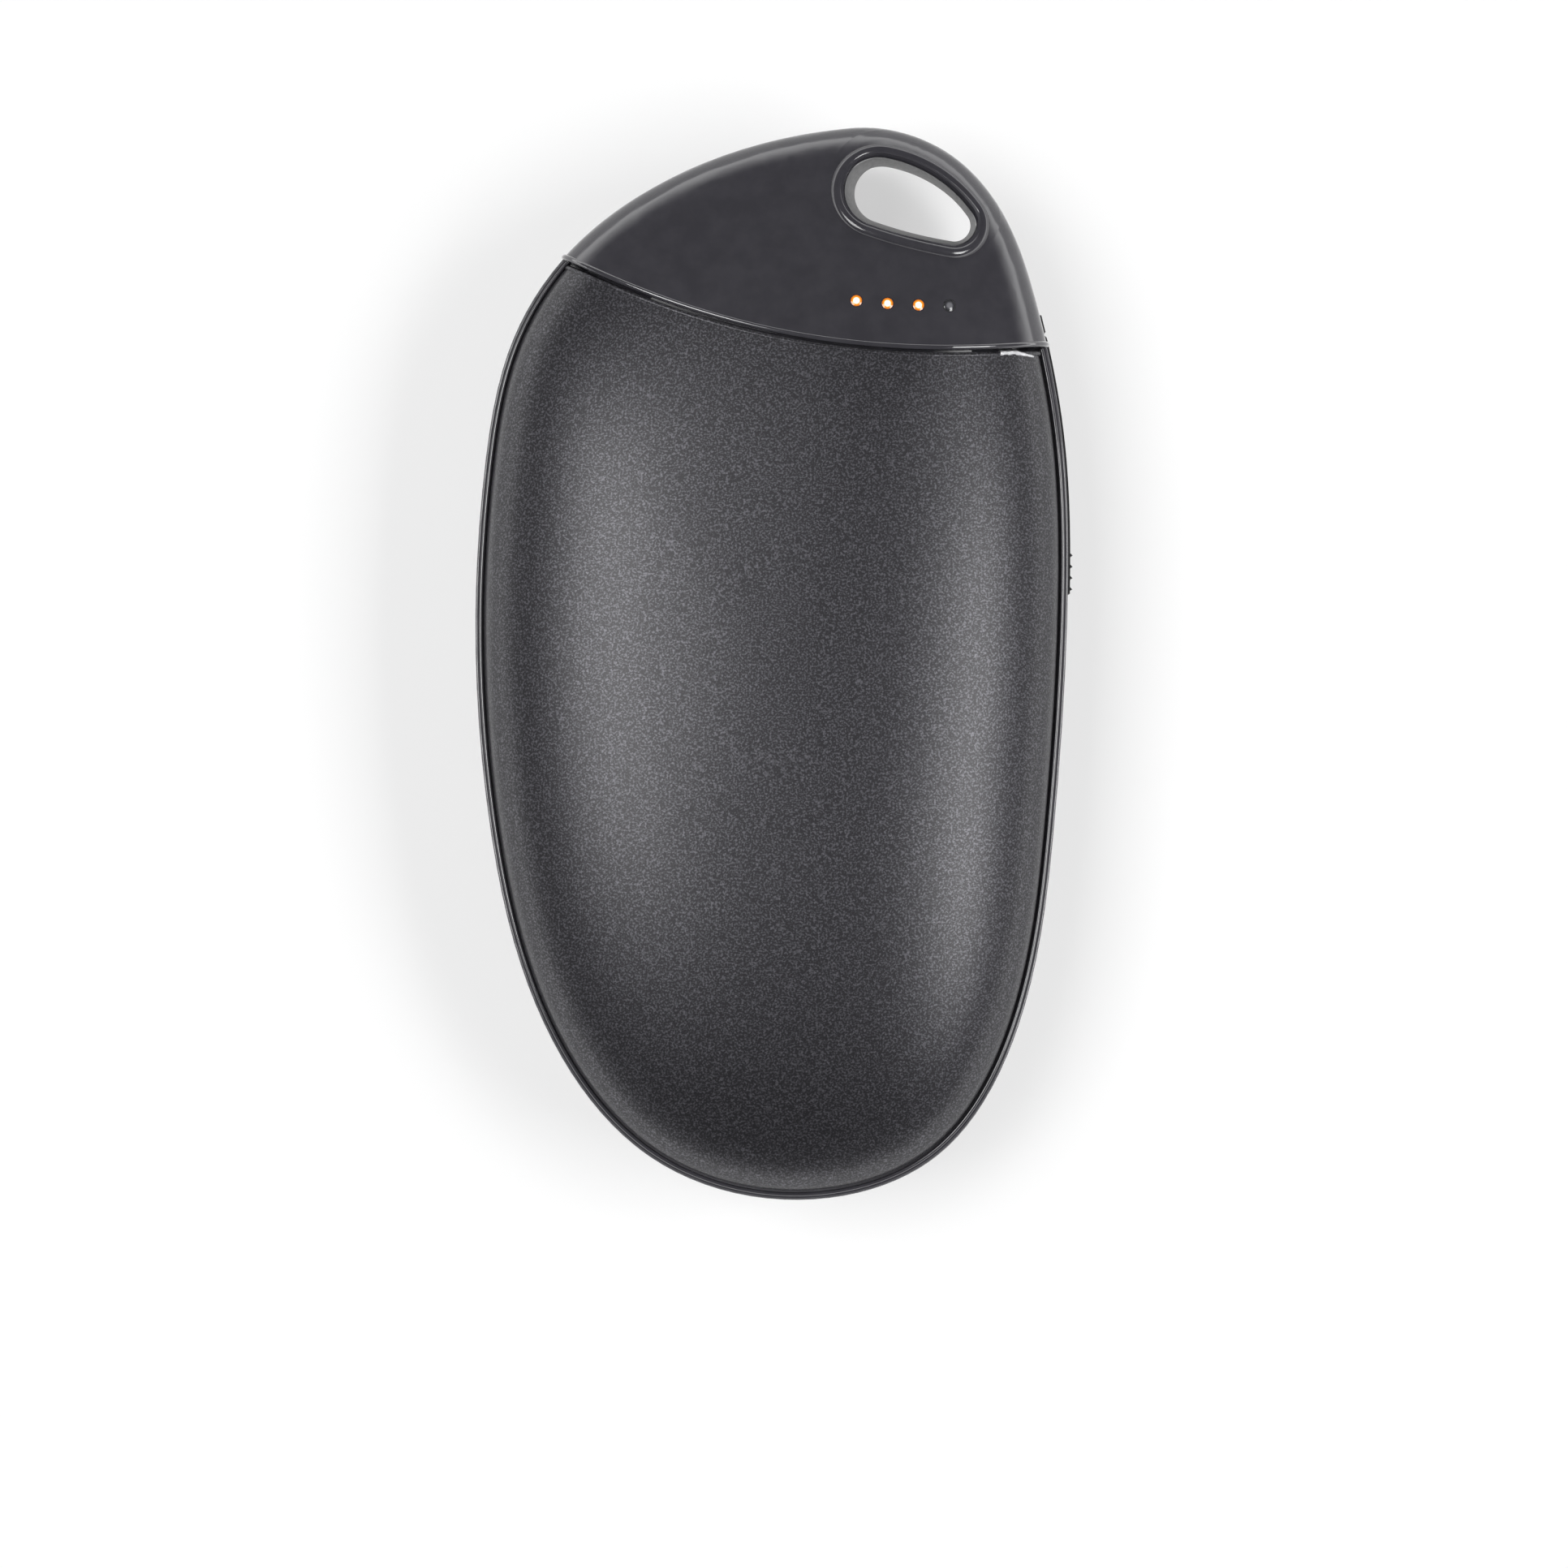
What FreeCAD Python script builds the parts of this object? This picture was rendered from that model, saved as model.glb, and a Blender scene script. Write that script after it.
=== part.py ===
import FreeCAD, Part
import math
import os
import Sketcher

Vector = FreeCAD.Vector
Z_AXIS = Vector(0, 0, 1)

doc = FreeCAD.newDocument("hand_warmer")
sheet = doc.addObject("Spreadsheet::Sheet", "sizes")

# Every size in millimetres; entries that start with an equals sign follow from the others.
SIZES = (
    # Cells, and the layers that lie between them and the outside
    ("cell_diameter", "18.4"),
    ("cell_length", "65"),
    ("cell_gap", "0.6"),
    ("cell_head_room", "0.3"),
    ("pad_thickness", "1.54"),
    ("film_thickness", "0.25"),
    ("film_glue", "0.05"),
    ("shell_wall", "1"),
    ("shell_crown", "2.16"),
    # Sockets behind the right flank
    ("usb_mouth", "3.5"),
    ("usb_length", "9.8"),
    ("usb_width", "13.2"),
    ("usb_height", "5.7"),
    ("usb_wall", "0.3"),
    ("usb_end_drop", "6"),
    ("micro_mouth", "2.4"),
    ("micro_length", "5.2"),
    ("micro_width", "7.5"),
    ("micro_height", "2.7"),
    ("micro_wall", "0.25"),
    ("socket_spacing", "1.65"),
    ("socket_clearance", "0.25"),
    ("tongue_recess", "1.9"),
    ("tongue_thickness", "1.9"),
    ("tongue_side_gap", "0.7"),
    ("tongue_roof_gap", "0.4"),
    ("micro_tongue_thickness", "0.6"),
    ("micro_tongue_side_gap", "1.6"),
    # Cord eye: two circles of different size joined by long arcs, open wider toward both faces
    ("eye_side", "18.6"),
    ("eye_drop", "6"),
    ("eye_radius", "3.05"),
    ("eye_tip_x", "7.3"),
    ("eye_tip_drop", "3.2"),
    ("eye_tip_radius", "1.75"),
    ("eye_upper_radius", "13"),
    ("eye_lower_radius", "45"),
    ("eye_wall", "2.6"),
    ("eye_flare", "0.9"),
    ("eye_rear_flare", "1.6"),
    ("eye_flare_height", "12"),
    ("eye_lean_x", "-0.55"),
    ("eye_lean_y", "-1.1"),
    ("eye_board_gap", "2.7"),
    ("bead_share", "0.95"),
    ("bead_width", "0.75"),
    ("bead_height", "0.28"),
    # Pebble body, as large as what it holds
    ("cell_to_board", "0.7"),
    ("cell_side_room", "8.6"),
    ("board_cap_gap", "3"),
    ("board_bar_width", "5"),
    ("foot_length", "19.25"),
    ("cap_length", "=board_cap_gap + board_bar_width + eye_board_gap + eye_wall"
                   " + eye_tip_radius + eye_tip_drop + eye_drop"),
    ("body_width", "=usb_mouth + usb_length + cell_to_board + 2 * cell_diameter"
                   " + cell_gap + cell_side_room"),
    ("body_length", "=cap_length + cell_length + foot_length"),
    ("body_depth", "=cell_diameter + 2 * (cell_head_room + pad_thickness"
                   " + film_thickness + film_glue + shell_crown)"),
    ("half_width", "=body_width / 2"),
    ("half_length", "=body_length / 2"),
    ("mid_height", "=body_depth / 2"),
    ("band_height", "9.6"),
    ("band_top", "=mid_height + band_height / 2"),
    ("crown_flat", "0.3"),
    ("crown_fullness", "0.7"),
    ("seat_height", "=body_depth - shell_crown"),
    ("cell_end_y", "=half_length - cap_length"),
    ("cell_foot_y", "=cell_end_y - cell_length"),
    # Black housings
    ("housing_wall", "2.2"),
    ("band_thickness", "3.2"),
    ("lip_thickness", "0.6"),
    ("lip_chamfer", "0.22"),
    ("parting_chamfer", "0.25"),
    ("shell_groove", "0.4"),
    ("ledge_drop", "0.8"),
    ("seat_inset", "=lip_thickness + shell_groove"),
    ("ledge_height", "=band_top - ledge_drop"),
    ("boss_height", "=ledge_height - mid_height"),
    # Seal between heat shell and band: an upstand in the groove and a foot under the shell
    ("gasket_gap", "0.03"),
    ("gasket_drop", "0.3"),
    ("gasket_foot", "0.3"),
    ("shell_foot", "=ledge_height + gasket_foot"),
    # Circuit board: a leg beside the cells and a wider bar under the cap
    ("board_thickness", "1.2"),
    ("board_top", "=mid_height - usb_height / 2"),
    ("board_left", "=half_width - usb_mouth - usb_length"),
    ("cell_pair_x", "=board_left - cell_to_board - cell_diameter - cell_gap / 2"),
    ("usb_y", "=cell_end_y - usb_end_drop"),
    ("micro_y", "=usb_y - usb_width / 2 - socket_spacing - micro_width / 2"),
    ("board_edge_margin", "0.05"),
    ("board_leg_width", "8"),
    ("board_leg_lap", "1"),
    ("board_cap_foot", "=cell_end_y + board_cap_gap"),
    ("board_eye_edge", "=board_cap_foot + board_bar_width"),
    ("board_cap_reach", "12.8"),
    ("board_cap_side", "5.5"),
    ("board_cap_flank", "7.8"),
    ("board_switch_half", "4.8"),
    ("board_switch_drop", "8.85"),
    ("board_switch_slant", "0.9"),
    ("post_diameter", "4"),
    ("post_pin_diameter", "1.8"),
    ("post_pin_clearance", "0.15"),
    ("post_pin_rise", "0.4"),
    ("post_left_offset", "6.8"),
    ("post_left_rise", "7.2"),
    ("post_right_side", "9.4"),
    ("post_right_rise", "2.6"),
    ("post_left_x", "=cell_pair_x - post_left_offset"),
    ("post_left_y", "=board_cap_foot + post_left_rise"),
    ("post_right_x", "=half_width - post_right_side"),
    ("post_right_y", "=board_cap_foot + post_right_rise"),
    ("component_gap", "0.02"),
    ("inductor_width", "5.6"),
    ("inductor_height", "3"),
    ("inductor_corner", "1.2"),
    ("inductor_offset", "8.2"),
    ("inductor_inset", "0.3"),
    ("chip_width", "4"),
    ("chip_height", "0.9"),
    ("chip_inset", "0.8"),
    ("heater_chip_offset", "5.3"),
    ("charger_chip_rise", "2.4"),
    # Indicator row on the board's bar
    ("led_row_side", "16.9"),
    ("led_pitch", "3.1"),
    ("led_inset", "2.55"),
    ("led_length", "1.6"),
    ("led_width", "0.8"),
    ("led_height", "0.7"),
    ("guide_diameter", "1.2"),
    ("guide_clearance", "0.04"),
    ("guide_foot_gap", "0.1"),
    # Seam between cap and heat shell: an arc in plan, below the indicator row
    ("led_offset", "4.4"),
    ("seam_radius", "75"),
    ("seam_side", "14"),
    ("seam_x", "=half_width - seam_side"),
    ("seam_y", "=board_cap_foot + led_inset - led_offset + seam_radius"),
    ("seam_gap", "0.35"),
    ("shelf_width", "1.6"),
    ("shelf_clearance", "0.1"),
    # Port cover and its recess
    ("cover_top_margin", "2.4"),
    ("cover_foot_margin", "1.05"),
    ("cover_top", "=usb_y + usb_width / 2 + cover_top_margin"),
    ("cover_foot", "=micro_y - micro_width / 2 - cover_foot_margin"),
    ("cover_half_height", "3.2"),
    ("cover_proud", "0.3"),
    ("cover_thickness", "1.6"),
    ("cover_inner", "=cover_thickness - cover_proud"),
    ("cover_clearance", "0.2"),
    ("hinge_bead", "0.45"),
    ("hinge_inset", "0.15"),
    ("anchor_gap", "0.4"),
    ("anchor_length", "1.65"),
    ("anchor_foot", "=cover_top + hinge_bead + anchor_gap"),
    ("anchor_neck_inset", "0.3"),
    ("anchor_neck_half", "1.4"),
    ("anchor_head_half", "2.4"),
    ("anchor_head_thickness", "1.2"),
    ("anchor_head_gap", "0.6"),
    ("anchor_clearance", "0.12"),
    ("plug_depth", "1.2"),
    ("plug_side_gap", "0.6"),
    ("plug_lap", "0.3"),
    ("rib_height", "0.28"),
    ("rib_pitch", "1.15"),
    ("rib_margin", "0.6"),
    ("rib_lap", "0.5"),
    ("rib_start", "0.35"),
    ("scoop_length", "9.6"),
    ("scoop_depth", "0.35"),
    # Cradle, insulators and link strips
    ("cell_relief", "0.4"),
    ("cradle_wall", "1.2"),
    ("cradle_end_gap", "0.7"),
    ("cradle_top_drop", "1.2"),
    ("cradle_height", "3.8"),
    ("cradle_clearance", "0.15"),
    ("cradle_side_gap", "0.3"),
    ("cradle_board_gap", "0.5"),
    ("cap_nub_diameter", "6"),
    ("cap_nub_height", "1.2"),
    ("crimp_height", "2.2"),
    ("crimp_depth", "0.5"),
    ("insulator_thickness", "0.2"),
    ("insulator_edge", "0.4"),
    ("insulator_bore_gap", "0.3"),
    ("strip_thickness", "0.2"),
    ("strip_height", "6"),
    ("strip_overhang", "4"),
    ("strip_gap", "0.05"),
    # Heating films and insulation pads on the flat seats inside the crowns
    ("film_margin", "1.2"),
    ("film_length", "54"),
    ("film_end_drop", "8"),
    ("film_top", "=cell_end_y - film_end_drop"),
    ("pad_margin", "2.4"),
    ("pad_length", "40"),
    ("pad_end_drop", "12"),
    ("pad_gap", "0.05"),
    ("sensor_drop", "9"),
    ("sensor_width", "1.6"),
    ("sensor_length", "1"),
    ("sensor_height", "0.6"),
    # Power button and its switch
    ("button_offset", "2.3"),
    ("button_x", "=cell_pair_x + button_offset"),
    ("button_length", "8"),
    ("button_height", "3.6"),
    ("button_clearance", "0.2"),
    ("button_edge", "0.3"),
    ("button_skin", "1.6"),
    ("button_flange", "0.8"),
    ("button_flange_rim", "0.8"),
    ("button_flange_gap", "0.15"),
    ("button_travel", "0.5"),
    ("button_room", "8"),
    ("pip_radius", "1"),
    ("pip_height", "0.35"),
    ("stem_diameter", "2.2"),
    ("stem_lap", "0.5"),
    ("switch_depth", "6.6"),
    ("switch_thickness", "3.5"),
    ("switch_width", "6"),
    ("plunger_reach", "1.3"),
    ("plunger_sink", "1"),
    ("plunger_clearance", "0.15"),
    ("plunger_end_room", "0.5"),
    # Screws
    ("boss_diameter", "4.8"),
    ("boss_lap", "0.9"),
    ("screw_diameter", "1.3"),
    ("screw_head", "3.2"),
    ("screw_head_height", "1.1"),
    ("screw_head_recess", "0.3"),
    ("screw_clearance", "0.1"),
    ("pilot_clearance", "0.05"),
    ("pilot_floor", "0.6"),
    ("screw_tip", "0.6"),
    ("screw_tip_room", "0.4"),
    ("screw_length", "=2 * boss_height - screw_head_height - screw_head_recess"
                     " - pilot_floor - screw_tip_room"),
    # Wiring
    ("lead_diameter", "1"),
    ("lead_bend", "1.6"),
    ("lead_joint_gap", "0.05"),
    ("heater_lead_spread", "1.8"),
    ("heater_lead_drop", "5.5"),
    ("heater_lead_sink", "0.7"),
    ("heater_lead_rise", "4.4"),
    ("heater_lead_width", "1.4"),
    ("heater_lead_thickness", "0.3"),
    ("positive_lead_offset", "4.4"),
    ("positive_lead_lift", "1.6"),
    ("positive_lead_rise", "7"),
    ("negative_lead_lift", "1"),
    ("negative_lead_loop", "2.4"),
    ("negative_lead_sink", "4"),
    ("negative_lead_rise", "6.6"),
)
for row, (alias, value) in enumerate(SIZES, start=1):
    sheet.set(f"A{row}", alias)
    sheet.set(f"B{row}", value)
    sheet.setAlias(f"B{row}", alias)
doc.recompute()


def size(alias):
    """Value of one named size in millimetres."""
    return float(sheet.get(alias))


depth = size("body_depth")
wide = size("body_width")
mid = size("mid_height")
band_top = size("band_top")
ledge = size("ledge_height")
seat = size("seat_inset")

# Stations of the outline from the eye end, counter-clockwise,
# as shares of the half width and the half length.
OUTLINE = (
    (0.27, 1.0), (-0.13, 0.955), (-0.4, 0.889), (-0.69, 0.765), (-0.87, 0.61),
    (-0.968, 0.37), (-1.0, 0.09), (-0.95, -0.306), (-0.765, -0.675), (-0.41, -0.92),
    (0.065, -1.0), (0.553, -0.92), (0.833, -0.675), (0.953, -0.306), (1.0, 0.13),
    (0.98, 0.43), (0.893, 0.675), (0.793, 0.828), (0.607, 0.949),
)
# Places where the bands of a hidden crown meet, as shares of the way up to its roof.
BAND_PLACES = (0.42, 0.75, 1.0)
# Halvings that settle a height on the crown's profile to far below a micrometre.
HALVINGS = 40
# Ribs on the pull tab, and where along its pitch each rib has its crest and its end.
RIB_COUNT = 4
RIB_CREST = 0.1
RIB_END = 0.8
# Indicators, as places along their row in steps of the pitch; the first three are lit.
LED_PLACES = (-1.5, -0.5, 0.5, 1.5)
LIT_COUNT = 3
# Stations where one stretch of the outline ends and the next begins.
STRETCHES = (0, 3, 6, 9, 12, 15, 19)
# Places of the screw bosses, as shares of the way round the outline from the eye end.
BOSS_PLACES = (0.29, 0.47, 0.57, 0.72)


def outline(inset, height, share=1.0):
    """Closed spline of the pebble's plan outline, moved in by an inset and then shrunk."""
    half_width = (size("half_width") - inset) * share
    half_length = (size("half_length") - inset) * share
    curve = Part.BSplineCurve()
    curve.interpolate(
        Points=[Vector(x * half_width, y * half_length, height) for x, y in OUTLINE],
        PeriodicFlag=True,
    )
    return curve


def flank_x(inset, y):
    """X of the right flank at one Y, on the outline moved in by an inset."""
    reach = Part.LineSegment(Vector(0, y, 0), Vector(size("body_width"), y, 0))
    point = outline(inset, 0).intersect(reach)[0]
    return point.X


def outline_wire(inset, height, share=1.0):
    """The outline as a closed wire of several stretches."""
    curve = outline(inset, height, share)
    knots = curve.getKnots()
    edges = []
    for start, end in zip(STRETCHES, STRETCHES[1:]):
        stretch = curve.copy()
        stretch.segment(knots[start], knots[end])
        edges.append(stretch.toShape())
    return Part.Wire(edges)


def stack(*levels):
    """Solid with straight sides through outlines given as (inset, height) or with a share."""
    return Part.makeLoft([outline_wire(*level) for level in levels], True, True)


def crown_rows(base, top):
    """Poles of the crown's cubic profile, each a share of the outline and a height."""
    flat = size("crown_flat")
    fullness = size("crown_fullness")
    return (
        (1, base),
        (1, base + fullness * (top - base)),
        (1 - fullness * (1 - flat), top),
        (flat, top),
    )


def crown(inset, base, top):
    """Domed solid: the outline shrinks from base to top and ends in a flat oval."""
    curve = outline(inset, 0)
    rows = crown_rows(base, top)
    poles = [
        [Vector(pole.x * share, pole.y * share, height) for share, height in rows]
        for pole in curve.getPoles()
    ]
    surface = Part.BSplineSurface()
    surface.buildFromPolesMultsKnots(
        poles, curve.getMultiplicities(), (4, 4), curve.getKnots(), (0.0, 1.0),
        True, False, curve.Degree, 3,
    )
    knots = curve.getKnots()
    faces = [Part.Face(outline_wire(inset, base)), Part.Face(outline_wire(inset, top, rows[-1][0]))]
    for start, end in zip(STRETCHES, STRETCHES[1:]):
        stretch = surface.copy()
        stretch.segment(knots[start], knots[end], 0.0, 1.0)
        faces.append(stretch.toShape())
    shell = Part.Shell(faces)
    shell.sewShape()
    return Part.Solid(shell)


def dome(inset, foot, top):
    """Straight wall from the foot to the band's top edge, then the crown."""
    return stack((inset, foot), (inset, band_top)).fuse(crown(inset, band_top, top))


def crown_share(height, top):
    """Share of the outline that the crown's profile has at one height, found by halving."""
    rows = crown_rows(band_top, top)
    low, high = 0.0, 1.0
    for halving in range(HALVINGS):
        along = (low + high) / 2
        back = 1 - along
        weights = (back ** 3, 3 * back ** 2 * along, 3 * back * along ** 2, along ** 3)
        reached = sum(weight * row[1] for weight, row in zip(weights, rows))
        low, high = (along, high) if reached < height else (low, along)
    return sum(weight * row[0] for weight, row in zip(weights, rows))


def inner_dome(inset, foot, top, roof):
    """Hidden side of a crown: straight bands along its profile up to a flat roof."""
    levels = [(inset, foot), (inset, band_top)]
    for place in BAND_PLACES:
        height = band_top + place * (roof - band_top)
        levels.append((inset, height, crown_share(height, top)))
    return stack(*levels)


def block(x0, x1, y0, y1, z0, z1):
    """Plain block between two corners."""
    return Part.makeBox(x1 - x0, y1 - y0, z1 - z0, Vector(x0, y0, z0))


def mirrored(shape):
    """The same shape on the other side of the parting plane."""
    return shape.mirror(Vector(0, 0, mid), Z_AXIS)


def feature(name, shape):
    """Free-form sub-part held as a document object."""
    item = doc.addObject("Part::Feature", name)
    item.Shape = shape
    item.Placement = FreeCAD.Placement()
    item.Label = name
    return item


def seam_cylinder(extra):
    """Upright cylinder whose wall is the seam between cap and heat shell."""
    foot = Vector(size("seam_x"), size("seam_y"), -depth)
    return Part.makeCylinder(size("seam_radius") + extra, 3 * depth, foot)


def eye_wire(grow, lean, height):
    """Closed egg-shaped wire of the eye, grown by an offset and leaned inward."""
    x = size("half_width") - size("eye_side") + lean * size("eye_lean_x")
    y = size("half_length") - size("eye_drop") + lean * size("eye_lean_y")
    big = Vector(x, y, height)
    tip = big + Vector(size("eye_tip_x"), -size("eye_tip_drop"), 0)
    axis = tip - big
    heading = Vector(axis).normalize()
    across = Z_AXIS.cross(heading)

    def reach(centre, toward, radius):
        return centre + Vector(toward).normalize() * (radius + grow)

    def long_arc(radius, hand):
        """Start, middle and end of one side's arc, from the wide end to the narrow end."""
        to_big = radius - size("eye_radius")
        to_tip = radius - size("eye_tip_radius")
        along = (to_big ** 2 - to_tip ** 2 + axis.Length ** 2) / (2 * axis.Length)
        pole = big + heading * along - across * (hand * math.sqrt(to_big ** 2 - along ** 2))
        return [reach(pole, point - pole, radius) for point in (big, big + axis * 0.5, tip)]

    upper = long_arc(size("eye_upper_radius"), 1)
    lower = long_arc(size("eye_lower_radius"), -1)
    edges = [
        Part.Arc(upper[0], reach(big, heading.negative(), size("eye_radius")), lower[0]).toShape(),
        Part.Arc(*lower).toShape(),
        Part.Arc(lower[2], reach(tip, heading, size("eye_tip_radius")), upper[2]).toShape(),
        Part.Arc(*reversed(upper)).toShape(),
    ]
    return Part.Wire(edges)


def eye_prism(grow, lean, foot, top):
    """Upright egg-shaped column around the eye."""
    return Part.Face(eye_wire(grow, lean, foot)).extrude(Vector(0, 0, top - foot))


def boss_points():
    """Centres of the four screw bosses, just inside the band."""
    inset = size("band_thickness") + size("boss_diameter") / 2 - size("boss_lap")
    path = outline(inset, 0)
    span = path.LastParameter - path.FirstParameter
    return [path.value(path.FirstParameter + span * share) for share in BOSS_PLACES]


def button_frame():
    """Placement on the band: X along the outline, Y up, Z out through the wall."""
    path = outline(0, mid)
    x = size("button_x")
    reach = Part.LineSegment(Vector(x, 0, mid), Vector(x, size("body_length"), mid))
    hit = path.intersect(reach)[0]
    point = Vector(hit.X, hit.Y, mid)
    along = path.tangent(path.parameter(point))[0]
    if along.x > 0:
        along = along.negative()
    outward = along.cross(Z_AXIS)
    if outward.y < 0:
        outward = outward.negative()
        along = along.negative()
    turn = FreeCAD.Rotation(Z_AXIS.cross(outward), Z_AXIS, outward, "ZYX")
    return FreeCAD.Placement(point, turn)


def obround(length, height, foot, top):
    """Rounded-end bar in the button's own frame, between two depths."""
    radius = height / 2
    half = length / 2 - radius
    edges = [
        Part.LineSegment(Vector(-half, -radius, foot), Vector(half, -radius, foot)).toShape(),
        Part.Arc(Vector(half, -radius, foot), Vector(half + radius, 0, foot),
                 Vector(half, radius, foot)).toShape(),
        Part.LineSegment(Vector(half, radius, foot), Vector(-half, radius, foot)).toShape(),
        Part.Arc(Vector(-half, radius, foot), Vector(-half - radius, 0, foot),
                 Vector(-half, -radius, foot)).toShape(),
    ]
    return Part.Face(Part.Wire(edges)).extrude(Vector(0, 0, top - foot))


def led_points():
    """Plan positions of the four indicators, on an arc parallel to the seam."""
    radius = size("seam_radius") - size("led_offset")
    row_x = size("half_width") - size("led_row_side")
    points = []
    for place in LED_PLACES:
        x = row_x + place * size("led_pitch")
        sideways = x - size("seam_x")
        points.append(Vector(x, size("seam_y") - math.sqrt(radius ** 2 - sideways ** 2), 0))
    return points


# Cover strip on the right flank
cover_top = size("cover_top")
cover_foot = size("cover_foot")
cover_inner = size("cover_inner")
cover_half = size("cover_half_height")
hinge = Vector(flank_x(0, cover_top) - size("hinge_inset"), cover_top, mid)


def cover_strip(y0, y1, clearance):
    """Slice of the flank's skin between two Y values, as thick as the cover."""
    half = cover_half + clearance
    outer = stack((-size("cover_proud") - clearance, mid - half),
                  (-size("cover_proud") - clearance, mid + half))
    inner = stack((cover_inner + clearance, mid - half - 1),
                  (cover_inner + clearance, mid + half + 1))
    return outer.cut(inner).common(block(0, wide, y0, y1, 0, depth))


def cells_solid(extra):
    """The space that the two cells take, grown by a clearance."""
    radius = size("cell_diameter") / 2 + extra
    start = size("cell_foot_y") - extra
    half_pitch = (size("cell_diameter") + size("cell_gap")) / 2
    tubes = []
    for side in (-1, 1):
        foot = Vector(size("cell_pair_x") + side * half_pitch, start, mid)
        tubes.append(Part.makeCylinder(radius, size("cell_length") + 2 * extra, foot, Vector(0, 1, 0)))
    return tubes[0].fuse(tubes[1]) if extra > size("cell_gap") / 2 else Part.Compound(tubes)


def shared_openings():
    """Cuts that both housings take: port recess, sockets, button, scoop, cells."""
    gap = size("cover_clearance")
    top = size("anchor_foot") + size("anchor_length") + size("anchor_clearance")
    recess = block(0, wide, cover_foot - gap, top, mid - cover_half - gap, mid + cover_half + gap)
    recess = recess.cut(stack((cover_inner + gap, 0), (cover_inner + gap, depth)))
    room = size("socket_clearance")
    half_usb = size("usb_width") / 2 + room
    usb = block(size("board_left"), wide, size("usb_y") - half_usb, size("usb_y") + half_usb,
                size("board_top") - room, size("board_top") + size("usb_height") + room)
    half_micro = size("micro_width") / 2 + room
    micro = block(size("board_left"), wide, size("micro_y") - half_micro, size("micro_y") + half_micro,
                  size("board_top") - room, size("board_top") + size("micro_height") + room)
    tail = anchor_tail(size("anchor_clearance"))
    scoop_y = cover_foot - size("scoop_length") / 2
    chord = size("scoop_length")
    radius = (chord ** 2 / 4 + size("scoop_depth") ** 2) / (2 * size("scoop_depth"))
    scoop_x = flank_x(0, scoop_y) - size("scoop_depth") + radius
    scoop = Part.makeCylinder(radius, 2 * cover_half, Vector(scoop_x, scoop_y, mid - cover_half))
    clear = 2 * size("button_clearance")
    hole = obround(size("button_length") + clear, size("button_height") + clear,
                   -size("button_room"), size("button_skin"))
    rim = 2 * (size("button_flange_rim") + size("button_clearance"))
    room_behind = obround(size("button_length") + rim, size("button_height") + rim,
                          -size("button_room"), -size("button_skin"))
    hole.Placement = button_frame()
    room_behind.Placement = button_frame()
    return [recess, usb, micro, tail, scoop, hole, room_behind, cells_solid(size("cell_relief"))]


def anchor_tail(clearance):
    """Neck and head that hold the cover's fixed end behind the band."""
    y0 = size("anchor_foot") + size("anchor_neck_inset") - clearance
    y1 = size("anchor_foot") + size("anchor_length") - size("anchor_neck_inset") + clearance
    x_out = flank_x(cover_inner / 2, y1)
    x_head = flank_x(size("band_thickness"), y1) - size("anchor_head_gap")
    x_in = x_head - size("anchor_head_thickness")
    neck_half = size("anchor_neck_half") + clearance
    head_half = size("anchor_head_half") + clearance
    neck = block(x_in, x_out, y0, y1, mid - neck_half, mid + neck_half)
    head = block(x_in - clearance, x_head + clearance, y0, y1, mid - head_half, mid + head_half)
    return neck.fuse(head)


def half_housing(flare, lean):
    """One housing: cap, band with its ledge and lip, shelf along the seam, eye with wall and bead."""
    chamfer = size("parting_chamfer")
    lip = size("lip_chamfer")
    envelope = stack((chamfer, mid), (0, mid + chamfer), (0, band_top))
    envelope = envelope.fuse(crown(0, band_top, depth))
    cap = envelope.common(seam_cylinder(0))
    band = stack((chamfer, mid), (0, mid + chamfer), (0, band_top - lip), (lip, band_top))
    pocket = stack((size("lip_thickness"), ledge), (size("lip_thickness"), band_top + 1))
    band = band.cut(pocket.cut(seam_cylinder(0)))
    step = size("shell_wall") + size("shelf_clearance")
    shelf = inner_dome(seat + step, mid, depth - step, size("seat_height") - size("shelf_clearance"))
    shelf = shelf.common(seam_cylinder(size("shelf_width")))
    body = cap.fuse([band, shelf])
    roof = size("seat_height") - size("housing_wall") + size("shell_wall")
    body = body.cut(inner_dome(size("band_thickness"), mid - 1, depth - size("housing_wall"), roof))
    wall = envelope.common(eye_prism(size("eye_wall"), 0, mid, depth))
    lifted = envelope.translated(Vector(0, 0, size("bead_height")))
    crest = flare * size("bead_share") + size("bead_width")
    bead = lifted.common(eye_prism(crest, lean * size("bead_share"), mid + size("bead_height"), depth + 1))
    mouth = eye_wire(flare, lean, mid + size("eye_flare_height"))
    return body.fuse([wall, bead]).cut(Part.makeLoft([eye_wire(0, 0, mid), mouth], True, True))


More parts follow.
